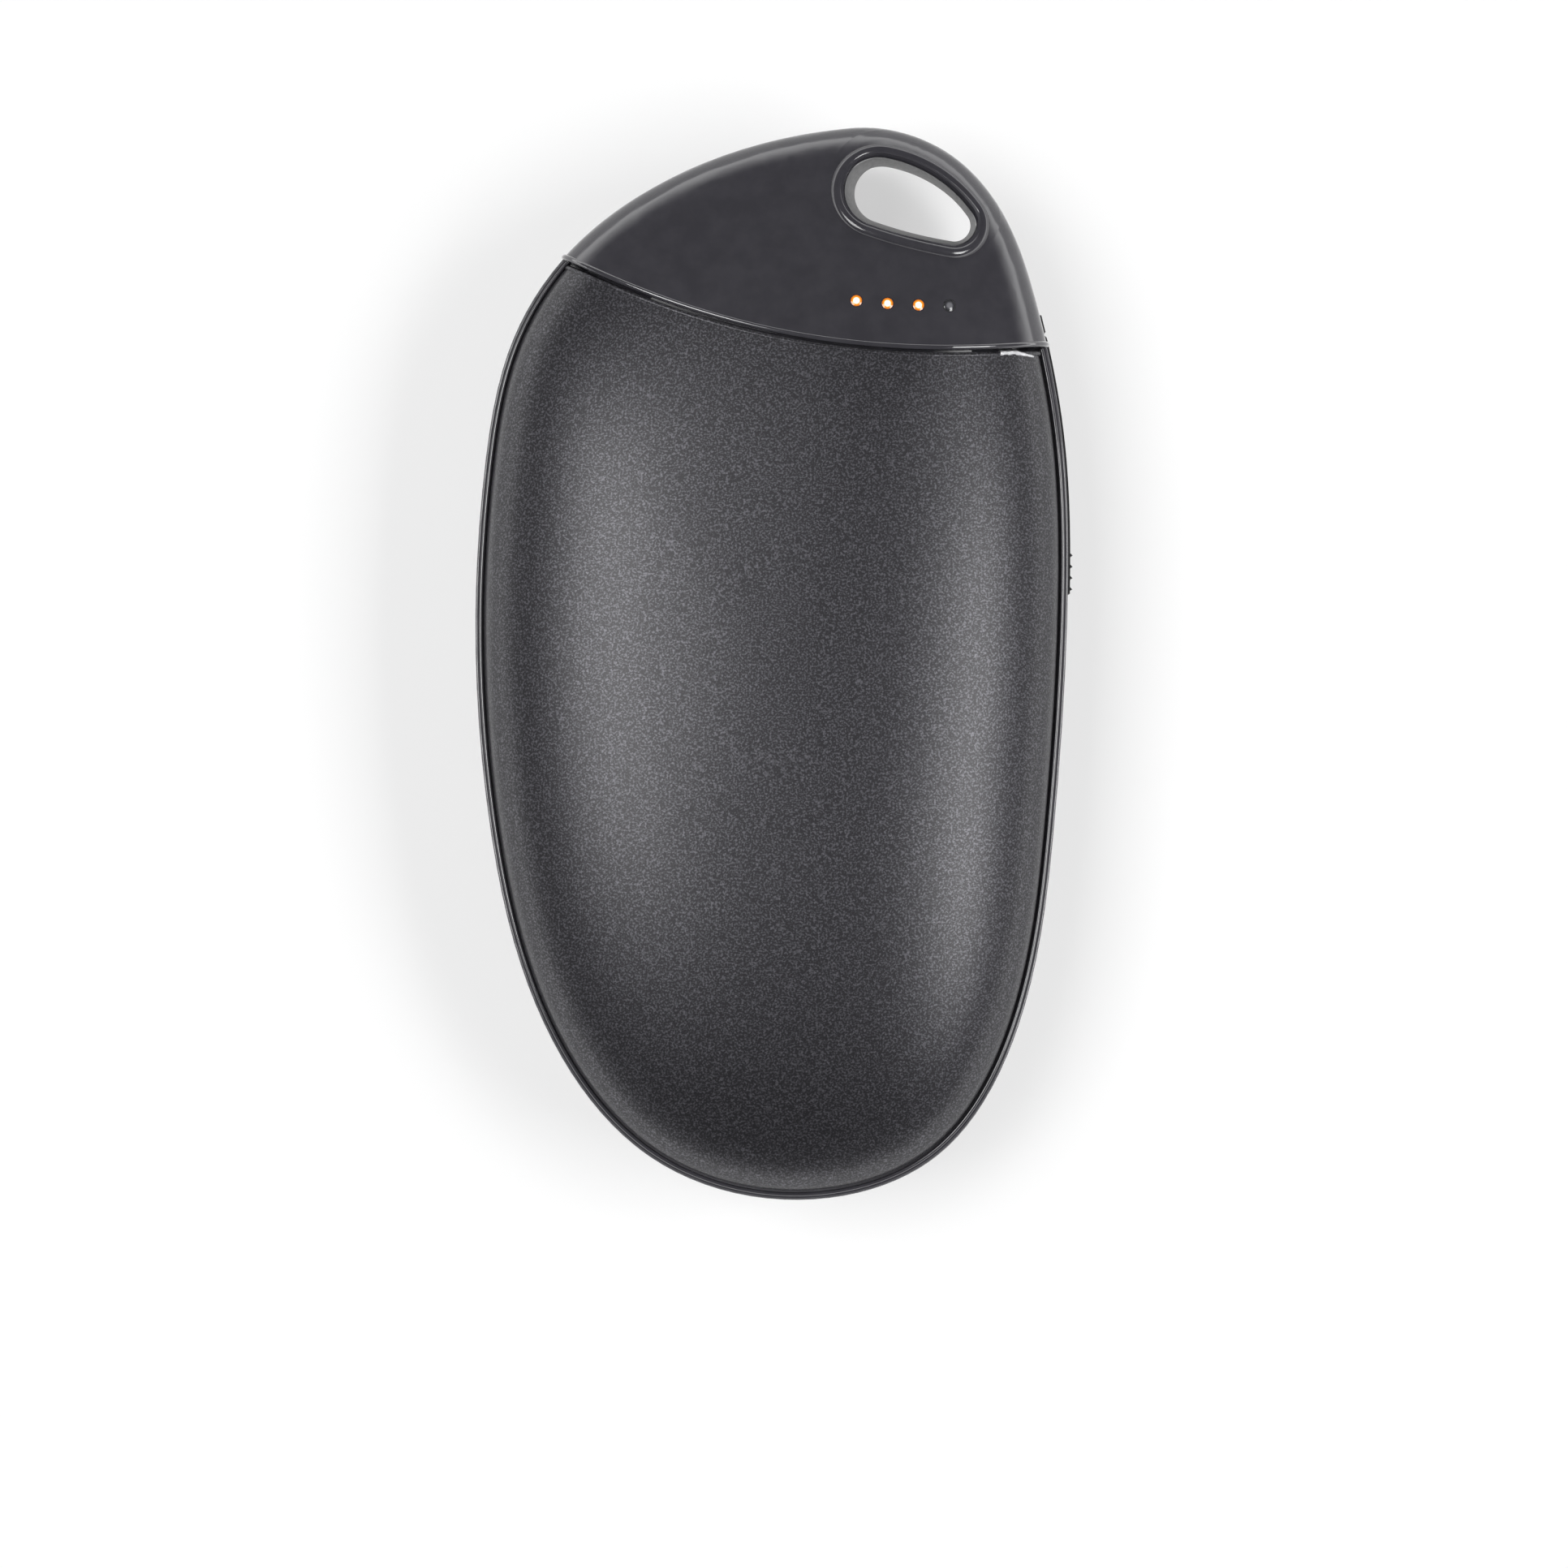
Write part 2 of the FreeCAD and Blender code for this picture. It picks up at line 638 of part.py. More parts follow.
half = half_housing(size("eye_flare"), 1)
rear_half = mirrored(half_housing(size("eye_rear_flare"), 0))
boss_radius = size("boss_diameter") / 2
boss_height = size("boss_height")
for point in boss_points():
    foot = Vector(point.x, point.y, mid)
    half = half.fuse(Part.makeCylinder(boss_radius, boss_height, foot))
    rear_half = rear_half.fuse(Part.makeCylinder(boss_radius, boss_height, foot, Z_AXIS.negative()))
for tool in shared_openings():
    half = half.cut(tool)
    rear_half = rear_half.cut(tool)
screw_radius = size("screw_diameter") / 2
head_seat = mid - boss_height + size("screw_head_height") + size("screw_head_recess")
pilot_depth = boss_height - size("pilot_floor")
for point in boss_points():
    foot = Vector(point.x, point.y, mid)
    room = size("screw_clearance")
    half = half.cut(Part.makeCylinder(screw_radius + size("pilot_clearance"), pilot_depth, foot))
    shank = Part.makeCylinder(screw_radius + room, boss_height + 1, foot, Z_AXIS.negative())
    seat_hole = Part.makeCylinder(size("screw_head") / 2 + room, boss_height,
                                  Vector(point.x, point.y, head_seat), Z_AXIS.negative())
    rear_half = rear_half.cut(shank).cut(seat_hole)
inside = mirrored(inner_dome(size("band_thickness") / 2, mid, depth - size("housing_wall") / 2,
                             size("seat_height")))
board_foot = size("board_top") - size("board_thickness")
for side in ("left", "right"):
    x = size(f"post_{side}_x")
    y = size(f"post_{side}_y")
    post = Part.makeCylinder(size("post_diameter") / 2, board_foot, Vector(x, y, 0))
    pin = Part.makeCylinder(size("post_pin_diameter") / 2,
                            size("board_thickness") + size("post_pin_rise"), Vector(x, y, board_foot))
    rear_half = rear_half.fuse([post.common(inside), pin])
guide_radius = size("guide_diameter") / 2
for point in led_points():
    half = half.cut(Part.makeCylinder(guide_radius + size("guide_clearance"), depth,
                                      Vector(point.x, point.y, mid)))
front_housing = feature("front_housing", half)
rear_housing = feature("rear_housing", rear_half)


def heat_shell():
    """Aluminium dish with a flat seat for the film inside its crown, cut off along the seam."""
    wall = size("shell_wall")
    dish = dome(seat, size("shell_foot"), depth)
    dish = dish.cut(inner_dome(seat + wall, ledge, depth - wall, size("seat_height")))
    return dish.cut(seam_cylinder(size("seam_gap")))


def shell_gasket():
    """Seal with an upstand in the groove round the heat shell and a foot under its edge."""
    gap = size("gasket_gap")
    edge = size("lip_thickness") + gap
    outer = stack((edge, ledge), (edge, band_top - size("gasket_drop")))
    hole = stack((seat + size("shell_wall"), ledge - 1), (seat + size("shell_wall"), band_top))
    room = stack((seat - gap, size("shell_foot")), (seat - gap, band_top))
    return outer.cut(hole).cut(room).cut(seam_cylinder(size("seam_gap")))


def seat_sheet(margin, top, foot, y_top, length):
    """Flat layer under a crown's seat, with the seat's oval outline moved in by a margin."""
    wall = size("shell_wall")
    share = crown_share(size("seat_height"), depth - wall)
    inset = seat + wall + margin
    sheet_solid = stack((inset, foot, share), (inset, top, share))
    return sheet_solid.common(block(-wide, wide, y_top - length, y_top, foot, top))


film_roof = size("seat_height") - size("film_glue")
film_floor = film_roof - size("film_thickness")


def heating_film():
    """Thin film bonded to the flat seat inside a heat shell."""
    return seat_sheet(size("film_margin"), film_roof, film_floor, size("film_top"), size("film_length"))


def insulation_pad():
    """Foam pad between heating film and cells."""
    foot = mid + size("cell_diameter") / 2 + size("cell_head_room")
    return seat_sheet(size("pad_margin"), film_floor - size("pad_gap"), foot,
                      size("film_top") - size("pad_end_drop"), size("pad_length"))


nodes = [front_housing, rear_housing]
for name, maker in (
    ("heat_shell", heat_shell),
    ("shell_gasket", shell_gasket),
    ("heating_film", heating_film),
    ("insulation_pad", insulation_pad),
):
    shape = maker()
    nodes.append(feature("front_" + name, shape))
    nodes.append(feature("rear_" + name, mirrored(shape)))


def port_cover():
    """Moving rubber cover, shut: strip, hinge bead, plugs and a ribbed pull tab."""
    lap = cover_inner - size("plug_lap")
    bead_radius = size("hinge_bead")
    strip = cover_strip(cover_foot, cover_top, 0)
    bead = Part.makeCylinder(bead_radius, 2 * cover_half, hinge - Vector(0, 0, cover_half))
    side_gap = size("plug_side_gap") + size("usb_wall")
    half_usb = size("usb_width") / 2 - side_gap
    floor = size("board_top") + side_gap
    x_usb = size("half_width") - size("usb_mouth") - size("plug_depth")
    usb_plug = block(x_usb, flank_x(lap, size("usb_y") - half_usb),
                     size("usb_y") - half_usb, size("usb_y") + half_usb,
                     floor, floor + size("usb_height") - 2 * side_gap)
    usb_plug = usb_plug.common(stack((lap, 0), (lap, depth)))
    side_gap = size("plug_side_gap") + size("micro_wall")
    half_micro = size("micro_width") / 2 - side_gap
    floor = size("board_top") + side_gap
    x_micro = size("half_width") - size("micro_mouth") - size("plug_depth") / 2
    micro_plug = block(x_micro, flank_x(lap, size("micro_y")),
                       size("micro_y") - half_micro, size("micro_y") + half_micro,
                       floor, floor + size("micro_height") - 2 * side_gap)
    ribs = []
    rib_half = cover_half - size("rib_margin")
    for count in range(RIB_COUNT):
        y = cover_foot + size("rib_start") + count * size("rib_pitch")
        x = flank_x(-size("cover_proud"), y)
        corners = [
            Vector(x - size("rib_lap"), y, mid - rib_half),
            Vector(x + size("rib_height"), y + size("rib_pitch") * RIB_CREST, mid - rib_half),
            Vector(x - size("rib_lap"), y + size("rib_pitch") * RIB_END, mid - rib_half),
        ]
        face = Part.Face(Part.makePolygon(corners + corners[:1]))
        ribs.append(face.extrude(Vector(0, 0, 2 * rib_half)))
    return strip.fuse([bead, usb_plug, micro_plug] + ribs)


def port_cover_anchor():
    """Fixed end of the cover: a short strip with a tail held behind the band."""
    strip = cover_strip(cover_top, size("anchor_foot") + size("anchor_length"), 0)
    relief = Part.makeCylinder(size("hinge_bead") + size("anchor_gap"), depth,
                               Vector(hinge.x, hinge.y, 0))
    corner = block(0, wide, cover_top - 1, cover_top + size("hinge_bead"), 0, depth)
    strip = strip.cut(relief).cut(corner)
    return strip.fuse(anchor_tail(0))


nodes.append(feature("port_cover", port_cover()))
nodes.append(feature("port_cover_anchor", port_cover_anchor()))


def value_of(expression):
    """Number that an expression on the sheet gives now."""
    return float(sheet.evalExpression(expression))


def new_body(name):
    """Empty body under its own label."""
    body = doc.addObject("PartDesign::Body", name)
    body.Label = name
    return body


def new_sketch(body, name, role, offset):
    """Sketch on one of the body's own origin planes, moved along its normal."""
    sketch = body.newObject("Sketcher::SketchObject", name)
    plane = [item for item in body.Origin.OriginFeatures if item.Role == role][0]
    sketch.AttachmentSupport = [(plane, "")]
    sketch.MapMode = "FlatFace"
    sketch.setExpression("AttachmentOffset.Base.z", offset)
    return sketch


def draw_polygon(sketch, corners):
    """Closed polygon whose corners are bound to expressions on the sheet."""
    points = [Vector(value_of(x), value_of(y), 0) for x, y in corners]
    count = len(points)
    first = sketch.GeometryCount
    for place, point in enumerate(points):
        sketch.addGeometry(Part.LineSegment(point, points[(place + 1) % count]), False)
    for place in range(count):
        follower = first + (place + 1) % count
        sketch.addConstraint(Sketcher.Constraint("Coincident", first + place, 2, follower, 1))
    for place, (x, y) in enumerate(corners):
        for kind, expression in (("DistanceX", x), ("DistanceY", y)):
            rule = Sketcher.Constraint(kind, -1, 1, first + place, 1, value_of(expression))
            index = sketch.addConstraint(rule)
            sketch.setExpression(f"Constraints[{index}]", expression)


def draw_rectangle(sketch, x0, x1, y0, y1):
    """Rectangle between expressions."""
    draw_polygon(sketch, ((x0, y0), (x1, y0), (x1, y1), (x0, y1)))


def draw_circle(sketch, x, y, radius):
    """Circle whose centre and radius are bound to expressions."""
    centre = Vector(value_of(x), value_of(y), 0)
    circle = Part.Circle(centre, Vector(0, 0, 1), value_of(radius))
    index = sketch.addGeometry(circle, False)
    for kind, expression in (("DistanceX", x), ("DistanceY", y)):
        rule = Sketcher.Constraint(kind, -1, 1, index, 3, value_of(expression))
        sketch.setExpression(f"Constraints[{sketch.addConstraint(rule)}]", expression)
    rule = Sketcher.Constraint("Radius", index, value_of(radius))
    sketch.setExpression(f"Constraints[{sketch.addConstraint(rule)}]", radius)


def extrude(body, kind, sketch, length):
    """Pad or pocket of a sketch by a length from the sheet."""
    step = body.newObject("PartDesign::" + kind, sketch.Name + "_" + kind.lower())
    step.Profile = sketch
    step.setExpression("Length", length)
    doc.recompute()
    return step


def revolve(body, sketch):
    """Full turn of a sketch about its own vertical axis."""
    step = body.newObject("PartDesign::Revolution", sketch.Name + "_turn")
    step.Profile = sketch
    step.ReferenceAxis = (sketch, ["V_Axis"])
    step.Angle = 360
    doc.recompute()
    return step


def place(item, x, y, z):
    """Bind an object's position to expressions."""
    for axis, expression in (("x", x), ("y", y), ("z", z)):
        item.setExpression(f".Placement.Base.{axis}", expression)


def box(name, lengths, corner):
    """Box primitive bound to expressions for its lengths and its low corner."""
    item = doc.addObject("Part::Box", name)
    for side, expression in zip(("Length", "Width", "Height"), lengths):
        item.setExpression(side, expression)
    place(item, *corner)
    return item


def group(name, members):
    """Separate like pieces held as one node."""
    item = doc.addObject("Part::Compound", name)
    item.Links = members
    item.Label = name
    return item


# Two cells side by side, both with the cap end toward the eye
cells = []
insulators = []
for name, side in (("left_cell", "-"), ("right_cell", "+")):
    axis_x = f"sizes.cell_pair_x {side} (sizes.cell_diameter + sizes.cell_gap) / 2"
    cell = new_body(name)
    profile = new_sketch(cell, name + "_profile", "XY_Plane", "0")
    shoulder = "sizes.cell_length - sizes.cap_nub_height"
    neck = "sizes.cell_diameter / 2 - sizes.crimp_depth"
    draw_polygon(profile, (
        ("0", "0"),
        ("sizes.cell_diameter / 2", "0"),
        ("sizes.cell_diameter / 2", shoulder + " - 2 * sizes.crimp_height"),
        (neck, shoulder + " - 1.5 * sizes.crimp_height"),
        ("sizes.cell_diameter / 2", shoulder + " - sizes.crimp_height"),
        ("sizes.cell_diameter / 2", shoulder),
        ("sizes.cap_nub_diameter / 2", shoulder),
        ("sizes.cap_nub_diameter / 2", "sizes.cell_length"),
        ("0", "sizes.cell_length"),
    ))
    revolve(cell, profile)
    place(cell, axis_x, "sizes.cell_foot_y", "sizes.mid_height")
    cells.append(cell)
    ring = new_body(name + "_insulator")
    face = new_sketch(ring, name + "_ring", "XY_Plane", "0")
    draw_circle(face, "0", "0", "sizes.cell_diameter / 2 - sizes.insulator_edge")
    draw_circle(face, "0", "0", "sizes.cap_nub_diameter / 2 + sizes.insulator_bore_gap")
    extrude(ring, "Pad", face, "sizes.insulator_thickness")
    ring.Placement.Rotation = FreeCAD.Rotation(Vector(1, 0, 0), -90)
    place(ring, axis_x, "sizes.cell_end_y - sizes.cap_nub_height + sizes.strip_gap", "sizes.mid_height")
    insulators.append(ring)
nodes.append(group("battery_cells", cells))
nodes.append(group("cell_insulators", insulators))

# Nickel strips that join the cells at both ends
strips = []
for name, y in (
    ("cap_strip", "sizes.cell_end_y + sizes.strip_gap"),
    ("foot_strip", "sizes.cell_foot_y - sizes.strip_gap - sizes.strip_thickness"),
):
    half_span = "(sizes.cell_diameter + sizes.cell_gap) / 2 + sizes.strip_overhang"
    strips.append(box(
        name,
        (f"2 * ({half_span})", "sizes.strip_thickness", "sizes.strip_height"),
        (f"sizes.cell_pair_x - ({half_span})", y, "sizes.mid_height - sizes.strip_height / 2"),
    ))
nodes.append(group("cell_link_strips", strips))


def cell_cradle():
    """Chassis plate that reaches from band to band and carries the cells in troughs."""
    top = mid - size("cradle_top_drop")
    foot = top - size("cradle_height")
    inset = size("band_thickness") + size("cradle_side_gap")
    end = size("cradle_end_gap") + size("cradle_wall")
    y0 = size("cell_foot_y") - end
    y1 = size("cell_end_y") + end
    plate = stack((inset, foot), (inset, top)).common(block(-wide, wide, y0, y1, foot, top))
    plate = plate.cut(cells_solid(size("cradle_clearance")))
    gap = size("cradle_end_gap")
    strip_foot = mid - size("strip_height") / 2 - size("cradle_clearance")
    for y in (y0 + size("cradle_wall"), size("cell_end_y")):
        slot = block(size("cell_pair_x") - size("cell_diameter"), size("cell_pair_x") + size("cell_diameter"),
                     y, y + gap, strip_foot, top + 1)
        plate = plate.cut(slot)
    gap = size("cradle_board_gap")
    leg_foot = size("micro_y") - size("micro_width") / 2 - size("board_edge_margin")
    leg = block(size("board_left") - gap, wide, leg_foot - gap, y1 + gap, 0, depth)
    plate = plate.cut(leg)
    for point in boss_points():
        room = Part.makeCylinder(boss_radius + size("cradle_side_gap"), depth, Vector(point.x, point.y, 0))
        plate = plate.cut(room)
    flank = size("cell_pair_x") - size("cell_diameter") - size("cell_gap") / 2
    left_boss = min(boss_points(), key=lambda spot: spot.x)
    return plate.cut(block(-wide, flank, y0 - 1, left_boss.y + boss_radius, 0, depth))


nodes.append(feature("cell_cradle", cell_cradle()))

# Circuit board with two pin holes
board = new_body("main_board")
edge = new_sketch(board, "board_outline", "XY_Plane", "sizes.board_top - sizes.board_thickness")
leg_foot = "sizes.micro_y - sizes.micro_width / 2 - sizes.board_edge_margin"
switch_edge = "sizes.half_length - sizes.board_switch_drop"
draw_polygon(edge, (
    ("sizes.board_left", leg_foot),
    ("sizes.board_left + sizes.board_leg_width", leg_foot),
    ("sizes.board_left + sizes.board_leg_width", "sizes.cell_end_y - sizes.board_leg_lap"),
    ("sizes.half_width - sizes.board_cap_flank", "sizes.board_eye_edge"),
    ("sizes.button_x + sizes.board_switch_half", "sizes.board_eye_edge"),
    ("sizes.button_x + sizes.board_switch_half", switch_edge + " + sizes.board_switch_slant"),
    ("sizes.button_x - sizes.board_switch_half", switch_edge + " - sizes.board_switch_slant"),
    ("sizes.cell_pair_x - sizes.board_cap_reach", "sizes.board_cap_foot + sizes.board_cap_side"),
    ("sizes.cell_pair_x - sizes.board_cap_reach", "sizes.board_cap_foot"),
    ("sizes.board_left", "sizes.board_cap_foot"),
))
extrude(board, "Pad", edge, "sizes.board_thickness")
pins = new_sketch(board, "board_pin_holes", "XY_Plane", "sizes.board_top")
for side in ("left", "right"):
    draw_circle(pins, f"sizes.post_{side}_x", f"sizes.post_{side}_y",
                "sizes.post_pin_diameter / 2 + sizes.post_pin_clearance")
extrude(board, "Pocket", pins, "sizes.board_thickness")
nodes.append(board)


def socket(name, y, mouth, length, width, height, wall):
    """Metal can of a socket, open toward the flank."""
    can = new_body(name)
    section = new_sketch(can, name + "_section", "YZ_Plane", f"sizes.half_width - {mouth} - {length}")
    draw_rectangle(section, f"{y} - {width} / 2", f"{y} + {width} / 2",
                   "sizes.board_top", f"sizes.board_top + {height}")
    extrude(can, "Pad", section, length)
    opening = new_sketch(can, name + "_mouth", "YZ_Plane", f"sizes.half_width - {mouth}")
    draw_rectangle(opening, f"{y} - {width} / 2 + {wall}", f"{y} + {width} / 2 - {wall}",
                   f"sizes.board_top + {wall}", f"sizes.board_top + {height} - {wall}")
    extrude(can, "Pocket", opening, f"{length} - {wall}")
    return can


nodes.append(socket("usb_a_socket", "sizes.usb_y", "sizes.usb_mouth", "sizes.usb_length",
                    "sizes.usb_width", "sizes.usb_height", "sizes.usb_wall"))
nodes.append(socket("micro_usb_socket", "sizes.micro_y", "sizes.micro_mouth", "sizes.micro_length",
                    "sizes.micro_width", "sizes.micro_height", "sizes.micro_wall"))
tongues = [
    box("usb_a_tongue",
        ("sizes.usb_length - sizes.usb_wall - sizes.tongue_recess",
         "sizes.usb_width - 2 * (sizes.usb_wall + sizes.tongue_side_gap)", "sizes.tongue_thickness"),
        ("sizes.board_left + sizes.usb_wall",
         "sizes.usb_y - sizes.usb_width / 2 + sizes.usb_wall + sizes.tongue_side_gap",
         "sizes.board_top + sizes.usb_height - sizes.usb_wall - sizes.tongue_thickness"
         " - sizes.tongue_roof_gap")),
    box("micro_usb_tongue",
        ("sizes.micro_length - sizes.micro_wall - sizes.tongue_recess",
         "sizes.micro_width - 2 * (sizes.micro_wall + sizes.micro_tongue_side_gap)",
         "sizes.micro_tongue_thickness"),
        ("sizes.half_width - sizes.micro_mouth - sizes.micro_length + sizes.micro_wall",
         "sizes.micro_y - sizes.micro_width / 2 + sizes.micro_wall + sizes.micro_tongue_side_gap",
         "sizes.board_top + (sizes.micro_height - sizes.micro_tongue_thickness) / 2")),
]
nodes.append(group("socket_tongues", tongues))

# Power button, its switch and the switch's plunger, all in the button's frame
frame = button_frame()
skin = size("button_skin")
flange_top = -skin - size("button_flange_gap")
flange_foot = flange_top - size("button_flange")
plunger_top = -size("switch_depth") + size("plunger_reach")


def power_button():
    """Obround key with a rounded face, a tactile pip, a retaining flange and a stem."""
    key = obround(size("button_length"), size("button_height"), flange_foot, 0)
    rim = [edge for edge in key.Edges if abs(edge.BoundBox.ZMin) < 1e-6]
    key = key.makeFillet(size("button_edge"), rim)
    rims = 2 * size("button_flange_rim")
    flange = obround(size("button_length") + rims, size("button_height") + rims, flange_foot, flange_top)
    stem = Part.makeCylinder(size("stem_diameter") / 2, flange_foot - plunger_top + size("stem_lap"),
                             Vector(0, 0, plunger_top))
    pip = Part.makeSphere(size("pip_radius"), Vector(0, 0, size("pip_height") - size("pip_radius")))
    return key.fuse([flange, stem, pip])


def switch_plunger():
    """Plunger between the button's stem and the switch's inside."""
    length = size("plunger_reach") + size("plunger_sink")
    return Part.makeCylinder(size("stem_diameter") / 2, length, Vector(0, 0, plunger_top - length))


def power_switch():
    """Side-push switch case that stands on the board, with the plunger's bore."""
    half_width = size("switch_width") / 2
    case = block(-half_width, half_width, size("board_top") - mid, size("usb_height") / 2,
                 -size("switch_depth") - size("switch_thickness"), -size("switch_depth"))
    deep = size("plunger_sink") + size("button_travel") + size("plunger_end_room")
    bore = Part.makeCylinder(size("stem_diameter") / 2 + size("plunger_clearance"), deep,
                             Vector(0, 0, -size("switch_depth") - deep))
    return case.cut(bore)


for name, maker in (
    ("power_button", power_button),
    ("switch_plunger", switch_plunger),
    ("power_switch", power_switch),
):
    item = feature(name, maker())
    item.Placement = frame
    nodes.append(item)

# Indicators on the board and the light guides above them
leds = []
for count, point in enumerate(led_points()):
    led = box(f"led_{count}", ("sizes.led_length", "sizes.led_width", "sizes.led_height"),
              (f"{point.x} - sizes.led_length / 2", f"{point.y} - sizes.led_width / 2", "sizes.board_top"))
    leds.append(led)
nodes.append(group("indicator_leds", leds))


def light_guide(point):
    """Clear rod from an indicator to the cap's surface, ended flush with the crown."""
    foot = size("board_top") + size("led_height") + size("guide_foot_gap")
    rod = Part.makeCylinder(guide_radius, depth, Vector(point.x, point.y, foot))
    return rod.common(dome(0, foot, depth))


guides = [light_guide(point) for point in led_points()]
nodes.append(feature("lit_light_guides", Part.Compound(guides[:LIT_COUNT])))
nodes.append(feature("unlit_light_guide", guides[LIT_COUNT]))

# Parts soldered on the board
inductor = box("inductor_block", ("sizes.inductor_width", "sizes.inductor_width", "sizes.inductor_height"),
               ("sizes.cell_pair_x - sizes.inductor_offset", "sizes.board_cap_foot + sizes.inductor_inset",
                "sizes.board_top"))
inductor_round = doc.addObject("Part::Fillet", "power_inductor")
doc.recompute()
inductor_round.Base = inductor
upright = [
    place_in_list + 1 for place_in_list, line in enumerate(inductor.Shape.Edges)
    if abs(line.tangentAt(line.FirstParameter).z) > 0.9
]
corner = size("inductor_corner")
inductor_round.Edges = [(number, corner, corner) for number in upright]
inductor_round.Label = "power_inductor"
nodes.append(inductor_round)
chips = [
    box("heater_chip", ("sizes.chip_width", "sizes.chip_width", "sizes.chip_height"),
        ("sizes.cell_pair_x + sizes.heater_chip_offset", "sizes.board_cap_foot + sizes.chip_inset",
         "sizes.board_top")),
    box("charger_chip", ("sizes.chip_width", "sizes.chip_width", "sizes.chip_height"),
        ("sizes.board_left + sizes.chip_inset", leg_foot + " + sizes.charger_chip_rise", "sizes.board_top")),
]
nodes.append(group("control_chips", chips))

# Sensors bonded to the films
sensor_top = film_floor - size("component_gap")
sensor_y = size("film_top") - size("sensor_drop")
sensor = block(-size("sensor_width") / 2, size("sensor_width") / 2, sensor_y - size("sensor_length") / 2,
               sensor_y + size("sensor_length") / 2, sensor_top - size("sensor_height"), sensor_top)
nodes.append(feature("temperature_sensors", Part.Compound([sensor, mirrored(sensor)])))


def flat_lead(x, path):
    """Flat heater lead, folded square along a path of (y, z) points and centred on one X."""
    points = [Vector(x - size("heater_lead_width") / 2, y, z) for y, z in path]
    across = Vector(1, 0, 0)
    normals = [across.cross((end - start).normalize()) for start, end in zip(points, points[1:])]
    folds = [normals[0]] + [a + b for a, b in zip(normals, normals[1:])] + [normals[-1]]
    half_thick = size("heater_lead_thickness") / 2
    near = [point + fold * half_thick for point, fold in zip(points, folds)]
    far = [point - fold * half_thick for point, fold in zip(points, folds)]
    corners = near + far[::-1]
    return Part.Face(Part.makePolygon(corners + corners[:1])).extrude(across * size("heater_lead_width"))


def tube(points):
    """Round lead along straight runs joined by tangent arcs."""
    bend = size("lead_bend")
    edges = []
    start = points[0]
    for before, corner, after in zip(points, points[1:], points[2:]):
        come = (before - corner).normalize()
        go = (after - corner).normalize()
        half_angle = come.getAngle(go) / 2
        reach = bend / math.tan(half_angle)
        first = corner + come * reach
        last = corner + go * reach
        middle = (come + go).normalize()
        centre = corner + middle * (bend / math.sin(half_angle))
        edges.append(Part.LineSegment(start, first).toShape())
        edges.append(Part.Arc(first, centre - middle * bend, last).toShape())
        start = last
    edges.append(Part.LineSegment(start, points[-1]).toShape())
    route = Part.Wire(edges)
    circle = Part.Circle(points[0], points[1] - points[0], size("lead_diameter") / 2)
    return route.makePipeShell([Part.Wire([circle.toShape()])], True, True)


pair_x = size("cell_pair_x")
board_top = size("board_top")
board_under = board_top - size("board_thickness")
joint = size("lead_joint_gap")
cell_radius = size("cell_diameter") / 2
film_end = size("film_top") - size("heater_lead_drop")
board_end = size("cell_end_y") + size("heater_lead_rise")
run = cell_radius - size("heater_lead_sink")
front_leads = []
rear_leads = []
for side in (-1, 1):
    x = pair_x + side * size("heater_lead_spread")
    front_leads.append(flat_lead(x, (
        (film_end, film_floor - joint), (film_end, mid + run),
        (board_end, mid + run), (board_end, board_top + joint),
    )))
    rear_leads.append(flat_lead(x, (
        (film_end, depth - film_floor + joint), (film_end, mid - run),
        (board_end, mid - run), (board_end, board_under - joint),
    )))
nodes.append(feature("front_heater_leads", Part.Compound(front_leads)))
nodes.append(feature("rear_heater_leads", Part.Compound(rear_leads)))
strip_depth = size("strip_gap") + size("strip_thickness") + joint
x = pair_x + size("positive_lead_offset")
z = mid + size("positive_lead_lift")
board_end = size("cell_end_y") + size("positive_lead_rise")
nodes.append(feature("battery_lead_positive", tube([
    Vector(x, size("cell_end_y") + strip_depth, z), Vector(x, board_end, z),
    Vector(x, board_end, board_top + joint),
])))
foot_end = size("cell_foot_y") - strip_depth
loop_end = foot_end - size("negative_lead_loop")
z = mid + size("negative_lead_lift")
high = mid + cell_radius - size("negative_lead_sink")
board_end = size("cell_end_y") + size("negative_lead_rise")
nodes.append(feature("battery_lead_negative", tube([
    Vector(pair_x, foot_end, z), Vector(pair_x, loop_end, z), Vector(pair_x, loop_end, high),
    Vector(pair_x, board_end, high), Vector(pair_x, board_end, board_top + joint),
])))

# Screws that join the housings
screws = []
for count, point in enumerate(boss_points()):
    screw = new_body(f"screw_{count}")
    profile = new_sketch(screw, f"screw_{count}_profile", "XZ_Plane", "0")
    draw_polygon(profile, (
        ("0", "0"),
        ("sizes.screw_head / 2", "0"),
        ("sizes.screw_head / 2", "sizes.screw_head_height"),
        ("sizes.screw_diameter / 2", "sizes.screw_head_height"),
        ("sizes.screw_diameter / 2", "sizes.screw_head_height + sizes.screw_length - sizes.screw_tip"),
        ("0", "sizes.screw_head_height + sizes.screw_length"),
    ))
    revolve(screw, profile)
    screw.Placement.Base = Vector(point.x, point.y, head_seat - size("screw_head_height"))
    screws.append(screw)
nodes.append(group("housing_screws", screws))

doc.recompute()
for item in doc.Objects:
    if "Invalid" in item.State or "Error" in item.State:
        raise RuntimeError(item.Label + " failed to rebuild")
for item in nodes:
    if item.Shape.isNull() or not item.Shape.isValid():
        raise RuntimeError(item.Label + " has no sound shape")
os.makedirs("parts", exist_ok=True)
for item in nodes:
    item.Shape.exportStep("parts/" + item.Label + ".step")
    print(item.Label, len(item.Shape.Solids), round(item.Shape.Volume, 2))
